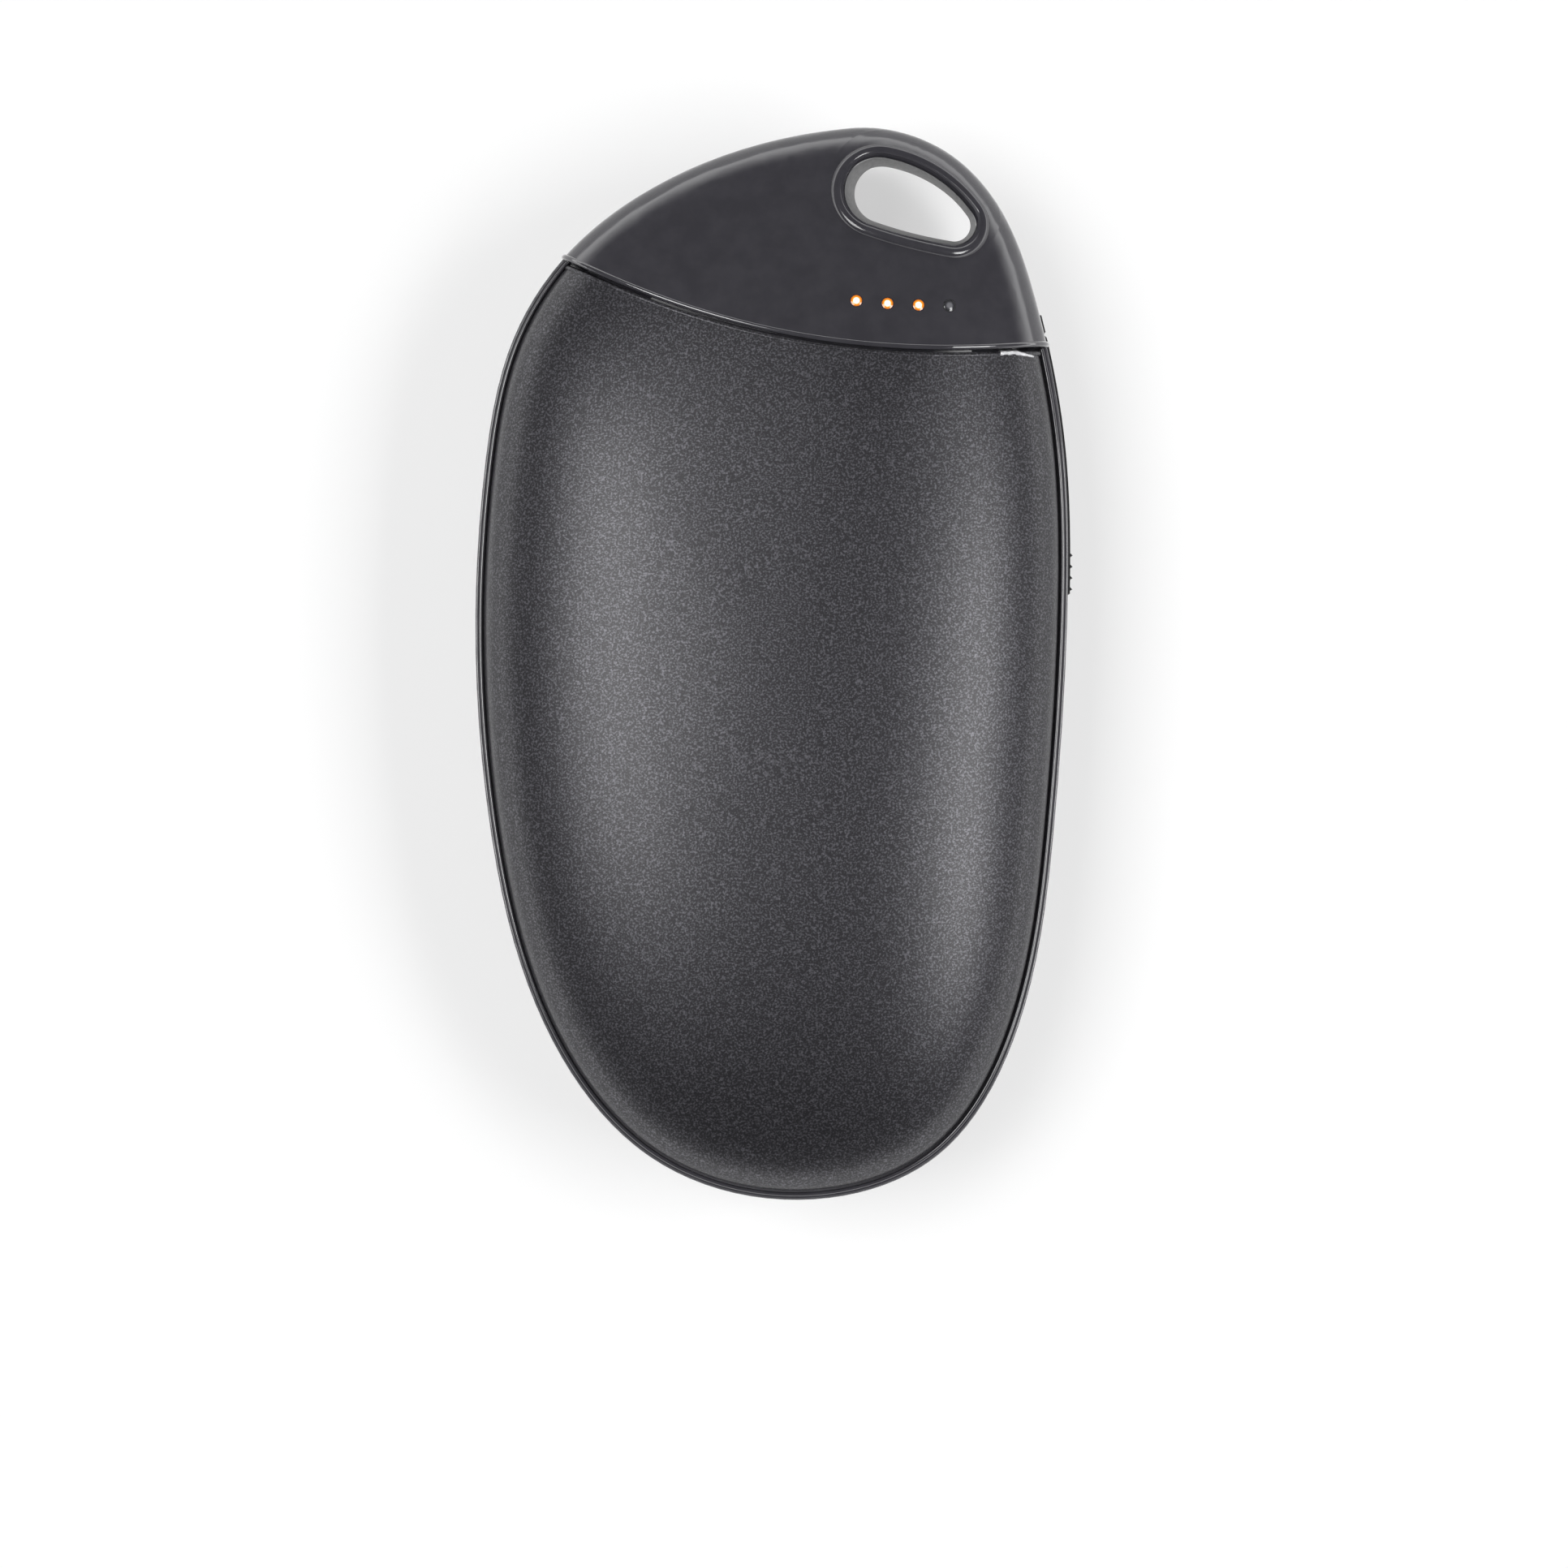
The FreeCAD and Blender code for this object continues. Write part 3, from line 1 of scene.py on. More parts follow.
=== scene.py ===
import logging
import math
from dataclasses import dataclass
from enum import Enum
from typing import Callable, Union

import bpy
import numpy as np
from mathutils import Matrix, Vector


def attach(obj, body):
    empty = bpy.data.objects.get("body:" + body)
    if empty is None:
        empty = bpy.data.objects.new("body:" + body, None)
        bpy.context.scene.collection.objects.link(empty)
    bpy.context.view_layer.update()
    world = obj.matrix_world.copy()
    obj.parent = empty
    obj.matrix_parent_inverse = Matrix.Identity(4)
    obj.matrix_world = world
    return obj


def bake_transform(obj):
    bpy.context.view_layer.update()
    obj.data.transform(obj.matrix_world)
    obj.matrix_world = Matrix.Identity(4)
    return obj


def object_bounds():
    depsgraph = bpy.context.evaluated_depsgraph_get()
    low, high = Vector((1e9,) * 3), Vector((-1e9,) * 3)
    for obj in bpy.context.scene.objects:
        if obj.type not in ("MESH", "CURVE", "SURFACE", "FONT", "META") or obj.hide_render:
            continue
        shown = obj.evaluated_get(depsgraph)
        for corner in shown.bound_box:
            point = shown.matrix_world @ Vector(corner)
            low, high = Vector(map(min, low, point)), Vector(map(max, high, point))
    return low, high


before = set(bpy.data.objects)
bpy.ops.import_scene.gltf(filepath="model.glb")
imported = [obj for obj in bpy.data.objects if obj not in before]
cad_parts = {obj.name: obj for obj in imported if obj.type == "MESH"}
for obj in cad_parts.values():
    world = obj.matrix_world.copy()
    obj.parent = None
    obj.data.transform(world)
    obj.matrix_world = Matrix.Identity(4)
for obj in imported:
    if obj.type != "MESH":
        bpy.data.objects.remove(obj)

CAD_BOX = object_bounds()
MM = 0.001
# Height of the plane between the two housings, about which the back mirrors the front.
MIDDLE = (CAD_BOX[0].z + CAD_BOX[1].z) / 2
# Clear height over or under the part at which a piece waits to be laid on it.
WAIT = 10 * MM
# Faces that meet at a smaller angle than this look smooth.
SMOOTH_ANGLE = math.radians(40)
# Centre in plan of the seam's arc and of the arc of the lights, in millimetres.
SEAM_CENTRE = (16.0, 106.15)
# A ragged section: its size beside the full one, the place along it where it starts to thin out, and the
# height and the rate of its waver.
RAGGED_SIZE, RAGGED_FROM, RAGGED_WAVER, RAGGED_RATE = 0.95, 0.5, 0.05, 29
log = logging.getLogger("hand_warmer")
Pair = tuple[float, float]
SocketValue = Union[bpy.types.NodeSocket, float, tuple]


def linear(code: str) -> tuple[float, float, float, float]:
    """Turn an sRGB hex value into linear colour.

    Args:
        code: Six hex digits after a hash sign.

    Returns:
        Red, green, blue and an alpha of one.
    """
    shares = [int(code[place:place + 2], 16) / 255 for place in (1, 3, 5)]
    light = [s / 12.92 if s <= 0.04045 else ((s + 0.055) / 1.055) ** 2.4 for s in shares]
    return (*light, 1.0)


def add_node(tree: bpy.types.NodeTree, kind: str, inputs: dict[Union[str, int], SocketValue],
             **settings: object) -> bpy.types.Node:
    """Add one node with its settings and links.

    Args:
        tree: Node tree of the material or world.
        kind: Blender's type name of the node.
        inputs: Value or output socket for each named or numbered input.
        **settings: Properties of the node itself.

    Returns:
        The new node.
    """
    node = tree.nodes.new(kind)
    for name, value in settings.items():
        setattr(node, name, value)
    for name, value in inputs.items():
        if isinstance(value, bpy.types.NodeSocket):
            tree.links.new(value, node.inputs[name])
        else:
            node.inputs[name].default_value = value
    return node


def empty_tree(owner: Union[bpy.types.Material, bpy.types.World]) -> bpy.types.NodeTree:
    """Switch a material or a world to nodes and clear them.

    Args:
        owner: Material or world.

    Returns:
        Its empty node tree.
    """
    owner.use_nodes = True
    owner.node_tree.nodes.clear()
    return owner.node_tree


class Pattern(Enum):
    """How a surface is broken up."""

    BLASTED = "blasted"
    MOULDED = "moulded"
    BRUSHED = "brushed"
    FOAMED = "foamed"
    FIBROUS = "fibrous"
    TRACKED = "tracked"


# Blender's wave texture turns its phase by this many radians over one unit at a scale of one.
WAVE_RATE = 20
# Density of the grain along Y, beside that across it, where it is drawn out into lines or fibres.
STRETCH = {Pattern.BRUSHED: 0.06, Pattern.FIBROUS: 0.25}
# Width of the step from ground to fleck, as a share of the pattern's range.
STEP = 0.3


@dataclass(frozen=True)
class Finish:
    """One real material and the way its surface was made.

    Attributes:
        name: Material and process.
        colour: Colour of the ground, sRGB hex.
        fleck: Colour of the pattern's high places, sRGB hex.
        rough: Roughness of the ground and of the high places.
        pattern: Kind of pattern.
        grain: Size of one grain, cell or fibre in millimetres; a track and its gap take about six of it.
        relief: Height of the grain in millimetres.
        metallic: Share of metal.
        ior: Index of refraction.
        coat: Weight and roughness of a clear coat.
        transmission: Share of light that goes through.
        share: Height of the pattern, from nought to one, up to which the ground shows.
    """

    name: str
    colour: str
    fleck: str
    rough: Pair
    pattern: Pattern
    grain: float
    relief: float = 0.0
    metallic: float = 0.0
    ior: float = 1.5
    coat: Pair = (0.0, 0.1)
    transmission: float = 0.0
    share: float = 0.5

    def texture(self, tree: bpy.types.NodeTree, place: bpy.types.NodeSocket) -> bpy.types.NodeSocket:
        """Draw the pattern as a grey value.

        Args:
            tree: Node tree of the material.
            place: Object coordinates in metres.

        Returns:
            Socket with the pattern from low to high.
        """
        scale = 1 / (self.grain * MM)
        if self.pattern is Pattern.FOAMED:
            cells = add_node(tree, "ShaderNodeTexVoronoi", {"Vector": place, "Scale": scale})
            return cells.outputs["Distance"]
        if self.pattern is Pattern.TRACKED:
            waves = add_node(tree, "ShaderNodeTexWave", {
                "Vector": place, "Scale": scale / WAVE_RATE, "Distortion": 0.0,
            }, bands_direction="X", wave_profile="SIN")
            return waves.outputs["Fac"]
        if self.pattern in STRETCH:
            drawn = (1.0, STRETCH[self.pattern], 1.0)
            place = add_node(tree, "ShaderNodeMapping", {"Vector": place, "Scale": drawn}).outputs["Vector"]
        detail = 3.0 if self.pattern is Pattern.MOULDED else 1.0
        noise = add_node(tree, "ShaderNodeTexNoise", {
            "Vector": place, "Scale": scale, "Detail": detail, "Roughness": 0.55,
        })
        return noise.outputs["Fac"]

    def make(self) -> bpy.types.Material:
        """Build the material.

        Returns:
            The material, named for what it is.
        """
        material = bpy.data.materials.new(self.name)
        tree = empty_tree(material)
        place = add_node(tree, "ShaderNodeTexCoord", {}).outputs["Object"]
        grain = self.texture(tree, place)
        top = min(1.0, self.share + STEP)
        tones = add_node(tree, "ShaderNodeValToRGB", {"Fac": grain})
        low, high = tones.color_ramp.elements
        low.position, low.color = self.share, linear(self.colour)
        high.position, high.color = top, linear(self.fleck)
        rough = add_node(tree, "ShaderNodeMapRange", {
            "Value": grain, "From Min": self.share, "From Max": top,
            "To Min": self.rough[0], "To Max": self.rough[1],
        })
        inputs = {
            "Base Color": tones.outputs["Color"], "Roughness": rough.outputs["Result"],
            "Metallic": self.metallic, "IOR": self.ior, "Coat Weight": self.coat[0],
            "Coat Roughness": self.coat[1], "Transmission Weight": self.transmission,
        }
        if self.relief:
            inputs["Normal"] = add_node(tree, "ShaderNodeBump", {
                "Height": grain, "Distance": self.relief * MM, "Strength": 1.0,
            }).outputs["Normal"]
        shader = add_node(tree, "ShaderNodeBsdfPrincipled", inputs)
        add_node(tree, "ShaderNodeOutputMaterial", {"Surface": shader.outputs["BSDF"]})
        return material


# Blasting leaves pits of about 0.1 mm in the aluminium; they are drawn at 0.2 mm, the finest that
# the render shows. The eye sees a dark satin ground with small bright flecks.
SHELL = Finish("bead_blasted_anodised_aluminium", "#1B1A1F", "#59585E", (0.54, 0.43), Pattern.BLASTED,
               0.2, 0.008, metallic=0.9, coat=(0.72, 0.36), share=0.45)
# Anodised skin rubbed off an edge: bare, bright metal, broken up by the pits that are left.
BARE = Finish("worn_bare_aluminium", "#C4C4C6", "#E2E2E3", (0.42, 0.3), Pattern.BLASTED,
              0.3, 0.01, metallic=1.0)
# Moulded against a polished tool: nearly even black, with crisp lights along its edges.
CAP = Finish("injection_moulded_abs", "#323136", "#37363B", (0.13, 0.17), Pattern.MOULDED,
             2.4, 0.001, ior=1.53, coat=(0.3, 0.08), share=0.35)
# The same moulding where its edges are buffed: a hard bright line on each.
EDGE = Finish("buffed_abs_edge", "#323136", "#37363B", (0.1, 0.13), Pattern.MOULDED,
              2.4, 0.001, ior=1.53, coat=(1.0, 0.05), share=0.35)
# The same moulding against a spark-eroded core pin: satin, so that it mirrors little of the floor; its
# ground, a touch darker than the cap's, is painted shade on the eye's wall.
SHADED_SATIN = Finish("spark_eroded_abs_painted_shade", "#2C2B30", "#37363B", (0.42, 0.5), Pattern.BLASTED,
               0.35, 0.004, ior=1.53, share=0.4)
# Silicone cord: dark, with no gloss, slightly dusty on its high places.
SEAL = Finish("extruded_silicone_rubber", "#414045", "#4B4A4F", (0.75, 0.62), Pattern.MOULDED,
              0.5, 0.004)
# Soft-touch rubber from a spark-eroded tool: fine matt grain.
RUBBER = Finish("moulded_thermoplastic_rubber", "#1D1D20", "#2A2A2D", (0.68, 0.55), Pattern.BLASTED,
                0.35, 0.008, share=0.4)
# Etched metal meander between two films: amber with browner tracks.
FILM = Finish("etched_polyimide_heating_film", "#B4661C", "#8C4A12", (0.3, 0.42), Pattern.TRACKED,
              1.6, 0.02, ior=1.65, share=0.5)
# Open foam: pale grey with small dark cells.
FOAM = Finish("open_cell_polyurethane_foam", "#6A6A6D", "#A9A9AB", (0.95, 0.85), Pattern.FOAMED,
              0.6, 0.08, share=0.2)
# Shrunk sleeve over a steel can: even blue with a plastic gloss.
SLEEVE = Finish("heat_shrunk_pvc_sleeve", "#235F9C", "#2B6CAD", (0.3, 0.4), Pattern.MOULDED, 4.0, 0.004)
# Vulcanised paper: pale with short fibres.
PAPER = Finish("vulcanised_fish_paper", "#D9D5C6", "#C2BCA8", (0.85, 0.9), Pattern.FIBROUS, 0.3, 0.006)
# Rolled strip: bright and slightly yellow, with lines along the roll.
NICKEL = Finish("rolled_nickel_strip", "#B9B4AA", "#CFCBC2", (0.28, 0.2), Pattern.BRUSHED,
                0.12, 0.002, metallic=1.0)
# Tough structural moulding: matt black with a dull sheen.
CRADLE = Finish("moulded_polypropylene", "#1B1B1D", "#232325", (0.5, 0.6), Pattern.MOULDED,
                1.2, 0.004, ior=1.49)
# Solder mask over copper: glossy green with lighter tracks.
BOARD = Finish("solder_masked_glass_epoxy", "#0F4A28", "#1D6B3B", (0.25, 0.32), Pattern.TRACKED,
               1.1, 0.015, ior=1.55, coat=(0.3, 0.1), share=0.6)
# Stamped can, nickel plated: bright grey with drawing lines.
CAN = Finish("nickel_plated_stamped_steel", "#A9A9A8", "#C6C6C4", (0.3, 0.2), Pattern.BRUSHED,
             0.15, 0.002, metallic=1.0)
# Contact carrier: dense, dull black plastic.
TONGUE = Finish("moulded_liquid_crystal_polymer", "#141415", "#1D1D1E", (0.45, 0.55), Pattern.MOULDED,
                0.6, 0.003)
# Rolled contact metal with a thin gold flash: warm and bright, with lines along it.
GOLD = Finish("gold_flashed_bronze_contact", "#C79A45", "#DDB765", (0.25, 0.16), Pattern.BRUSHED,
              0.08, 0.001, metallic=1.0)
# Same tool finish as the cap, a touch duller from thumbs.
KEY = Finish("injection_moulded_abs_key", "#232226", "#2E2D31", (0.34, 0.28), Pattern.MOULDED,
             1.6, 0.003, ior=1.53)
# Heat-proof switch case: black with a dull sheen.
SWITCH = Finish("moulded_nylon", "#1A1A1B", "#242425", (0.5, 0.62), Pattern.MOULDED, 0.8, 0.004)
# Package of a small indicator: cream white and matt.
LED_BODY = Finish("moulded_white_ppa", "#E4E0D2", "#D6D1C0", (0.5, 0.6), Pattern.MOULDED, 0.3, 0.002)
# Clear rod, grey because dark plastic stands round it.
CLEAR = Finish("moulded_clear_polycarbonate", "#6B6B6D", "#8A8A8C", (0.12, 0.2), Pattern.MOULDED,
               0.8, 0.001, ior=1.58, transmission=0.5)
# Pressed powder core: dark grey with a stone-like grain.
FERRITE = Finish("pressed_ferrite_powder", "#3C3C3F", "#4C4C4F", (0.7, 0.6), Pattern.BLASTED, 0.25, 0.01)
# Transfer-moulded package: matt black with fine filler grain.
CHIP = Finish("transfer_moulded_epoxy", "#18181A", "#222224", (0.6, 0.5), Pattern.BLASTED, 0.18, 0.004)
# Dipped bead: dark brown and glossy.
BEAD = Finish("dipped_epoxy", "#3A2416", "#4A3020", (0.2, 0.3), Pattern.MOULDED, 0.6, 0.004)
# Insulation of the round wires and of the flat heater leads: even colour with a waxy gloss.
RED_WIRE = Finish("extruded_red_pvc", "#B01C18", "#BE2A24", (0.35, 0.45), Pattern.FIBROUS, 0.6, 0.002)
BLACK_WIRE = Finish("extruded_black_pvc", "#161617", "#1F1F20", (0.35, 0.45), Pattern.FIBROUS, 0.6, 0.002)
WHITE_WIRE = Finish("laminated_white_polyester", "#D8D8D3", "#C9C9C3", (0.35, 0.45), Pattern.FIBROUS,
                    0.6, 0.002)
# Turned steel with black zinc: dark metal with tool lines.
SCREW = Finish("black_zinc_plated_steel", "#4A4A4C", "#606062", (0.38, 0.28), Pattern.BRUSHED,
               0.12, 0.002, metallic=1.0)


@dataclass(frozen=True)
class LensFinish:
    """Clear lens that glows from its middle outward.

    Attributes:
        name: Material and process.
        core: Colour of the middle, sRGB hex.
        ring: Colour of the ring round it.
        edge: Colour of the rim.
        glow: Strength of the light, where one is white as written.
        stops: Distances from the axis at which core, ring and rim are reached, as shares of the radius.
    """

    name: str
    core: str
    ring: str
    edge: str
    glow: float
    stops: tuple[float, float, float] = (0.4, 0.64, 1.0)

    def make(self) -> bpy.types.Material:
        """Build the material.

        Returns:
            The material, named for what it is.
        """
        material = bpy.data.materials.new(self.name)
        tree = empty_tree(material)
        spread = add_node(tree, "ShaderNodeAttribute", {}, attribute_name="from_axis")
        tones = add_node(tree, "ShaderNodeValToRGB", {"Fac": spread.outputs["Fac"]})
        middle, between, outer = self.stops
        core, rim = tones.color_ramp.elements
        core.position, core.color = middle, linear(self.core)
        rim.position, rim.color = outer, linear(self.edge)
        tones.color_ramp.elements.new(between).color = linear(self.ring)
        shader = add_node(tree, "ShaderNodeBsdfPrincipled", {
            "Base Color": tones.outputs["Color"], "Emission Color": tones.outputs["Color"],
            "Emission Strength": self.glow, "Roughness": 0.12, "IOR": 1.58,
        })
        add_node(tree, "ShaderNodeOutputMaterial", {"Surface": shader.outputs["BSDF"]})
        return material


# Polycarbonate with an amber light behind it: white-hot middle, orange ring, brown rim.
GLOW = LensFinish("lit_polycarbonate_lens", "#F8F2EA", "#E2801C", "#7A3C0A", 0.9)
# The same lens without light: smoky grey, a little paler in the middle.
DARK_LENS = LensFinish("unlit_polycarbonate_lens", "#6A6A6E", "#3C3C40", "#1A1A1C", 0.0)
# Finish of each CAD node.
NODE_FINISHES = {
    "front_housing": CAP, "rear_housing": CAP, "front_heat_shell": SHELL, "rear_heat_shell": SHELL,
    "front_shell_gasket": SEAL, "rear_shell_gasket": SEAL, "front_heating_film": FILM,
    "rear_heating_film": FILM, "front_insulation_pad": FOAM, "rear_insulation_pad": FOAM,
    "port_cover": RUBBER, "port_cover_anchor": RUBBER, "battery_cells": SLEEVE,
    "cell_insulators": PAPER, "cell_link_strips": NICKEL, "cell_cradle": CRADLE, "main_board": BOARD,
    "usb_a_socket": CAN, "micro_usb_socket": CAN, "socket_tongues": TONGUE, "power_button": KEY,
    "switch_plunger": SWITCH, "power_switch": SWITCH, "indicator_leds": LED_BODY,
    "lit_light_guides": CLEAR, "unlit_light_guide": CLEAR, "power_inductor": FERRITE,
    "control_chips": CHIP, "temperature_sensors": BEAD, "front_heater_leads": WHITE_WIRE,
    "rear_heater_leads": WHITE_WIRE, "battery_lead_positive": RED_WIRE,
    "battery_lead_negative": BLACK_WIRE, "housing_screws": SCREW,
}


def material_of(finish: Union[Finish, LensFinish]) -> bpy.types.Material:
    """Find the finish's material, which is built once.

    Args:
        finish: Finish to look up.

    Returns:
        Its material.
    """
    return bpy.data.materials.get(finish.name) or finish.make()


def choose(piece: bpy.types.Object) -> None:
    """Make one object the only selected and active one.

    Args:
        piece: Object to choose.
    """
    bpy.ops.object.select_all(action="DESELECT")
    piece.select_set(True)
    bpy.context.view_layer.objects.active = piece


def take(name: str) -> bpy.types.Object:
    """Name the object that was just added, which is the only selected one.

    Args:
        name: Name of the piece.

    Returns:
        The object.
    """
    piece = bpy.context.object
    piece.name = name
    return piece


def closed_line(name: str, places: list) -> bpy.types.Object:
    """Add a closed line of edges.

    Args:
        name: Name of the piece.
        places: Place of each of its points, in metres.

    Returns:
        The line, a mesh object without faces.
    """
    bpy.ops.mesh.primitive_circle_add(vertices=len(places))
    line = take(name)
    for vertex, place in zip(line.data.vertices, places):
        vertex.co = place
    return line


def ringed_disc(name: str, points: int, radius: float, rings: int,
                place: tuple = (0, 0, 0)) -> bpy.types.Object:
    """Add a flat disc of concentric rings.

    Args:
        name: Name of the piece.
        points: Points in a ring.
        radius: Radius of the disc in metres.
        rings: Number of rings, of which the innermost is one face.
        place: Middle of the disc in metres.

    Returns:
        The disc, with its innermost face selected.
    """
    bpy.ops.mesh.primitive_circle_add(vertices=points, radius=radius, fill_type="NGON", location=place)
    disc = take(name)
    bpy.ops.object.transform_apply(location=True)
    bpy.ops.object.mode_set(mode="EDIT")
    bpy.ops.mesh.select_mode(type="FACE")
    bpy.ops.mesh.select_all(action="SELECT")
    for _ in range(rings - 1):
        bpy.ops.mesh.inset(thickness=radius / rings)
    bpy.ops.object.mode_set(mode="OBJECT")
    return disc


def select_points(piece: bpy.types.Object, wanted: Callable[[Vector], bool]) -> None:
    """Open a mesh in edit mode with only the wanted points selected.

    Args:
        piece: Mesh object to open.
        wanted: Test on a point's place.
    """
    choose(piece)
    bpy.ops.object.mode_set(mode="EDIT")
    bpy.ops.mesh.select_mode(type="VERT")
    bpy.ops.mesh.select_all(action="DESELECT")
    bpy.ops.object.mode_set(mode="OBJECT")
    for vertex in piece.data.vertices:
        vertex.select = wanted(vertex.co)
    bpy.ops.object.mode_set(mode="EDIT")


def move_points(piece: bpy.types.Object, step: tuple,
                wanted: Callable[[Vector], bool] = lambda place: True) -> None:
    """Move the points at wanted places, or the whole mesh.

    Args:
        piece: Mesh object to change.
        step: How far the points move, in metres.
        wanted: Test on a point's place.
    """
    select_points(piece, wanted)
    bpy.ops.transform.translate(value=step)
    bpy.ops.object.mode_set(mode="OBJECT")


def drop_points(piece: bpy.types.Object, unwanted: Callable[[Vector], bool]) -> None:
    """Delete the points at unwanted places.

    Args:
        piece: Mesh object to thin out.
        unwanted: Test on a point's place.
    """
    select_points(piece, unwanted)
    bpy.ops.mesh.delete(type="VERT")
    bpy.ops.object.mode_set(mode="OBJECT")


def lay_on(piece: bpy.types.Object, node: str, upward: bool = False) -> None:
    """Press a mesh straight down or up onto a CAD node.

    Args:
        piece: Mesh object that waits above or below the part.
        node: Name of the CAD node that it lands on.
        upward: Whether it comes from below.
    """
    choose(piece)
    wrap = piece.modifiers.new("lay", "SHRINKWRAP")
    wrap.wrap_method = "PROJECT"
    wrap.use_project_z = True
    wrap.use_positive_direction = upward
    wrap.use_negative_direction = not upward
    wrap.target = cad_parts[node]
    bpy.ops.object.modifier_apply(modifier=wrap.name)


def thicken(piece: bpy.types.Object, thickness: float, offset: float) -> None:
    """Turn an open sheet into a closed wall.

    Args:
        piece: Mesh object of one sheet.
        thickness: Thickness of the wall in metres.
        offset: Side that the wall grows to: minus one is behind the sheet, nought is both.
    """
    choose(piece)
    wall = piece.modifiers.new("wall", "SOLIDIFY")
    wall.thickness = thickness
    wall.offset = offset
    bpy.ops.object.modifier_apply(modifier=wall.name)


def sweep(piece: bpy.types.Object, radius: float, ragged: bool = False) -> None:
    """Give a line of points a round section.

    Args:
        piece: Mesh object of edges alone.
        radius: Radius of the section in metres.
        ragged: Whether the section wavers and grows thinner along its right half.
    """
    choose(piece)
    bpy.ops.object.convert(target="CURVE")
    if ragged:
        points = piece.data.splines[0].points
        places = [point.co.x for point in points]
        for point, place in zip(points, places):
            share = (place - min(places)) / (max(places) - min(places))
            waver = RAGGED_WAVER * math.sin(RAGGED_RATE * share)
            point.radius = RAGGED_SIZE - max(0.0, share - RAGGED_FROM) + waver
    piece.data.bevel_depth = radius
    piece.data.bevel_resolution = 3
    piece.data.use_fill_caps = True
    bpy.ops.object.convert(target="MESH")
    bpy.ops.object.shade_smooth()


def copy_to_back(piece: bpy.types.Object, name: str) -> bpy.types.Object:
    """Copy a front piece to the mirrored place on the back.

    Args:
        piece: Finished piece on the front.
        name: Name of the copy.

    Returns:
        The copy, with its own mesh.
    """
    choose(piece)
    bpy.ops.object.duplicate()
    copy = take(name)
    bpy.ops.object.mode_set(mode="EDIT")
    bpy.ops.mesh.select_all(action="SELECT")
    bpy.ops.transform.resize(value=(1, 1, -1), center_override=(0, 0, MIDDLE))
    bpy.ops.mesh.normals_make_consistent(inside=False)
    bpy.ops.object.mode_set(mode="OBJECT")
    return copy


def dress(piece: bpy.types.Object, finish: Union[Finish, LensFinish], body: str) -> None:
    """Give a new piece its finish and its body.

    Args:
        piece: Finished mesh object.
        finish: Finish that it shows.
        body: CAD body that it moves with.
    """
    piece.data.materials.clear()
    piece.data.materials.append(material_of(finish))
    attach(piece, body)
    log.info("%s: %s", piece.name, finish.name)


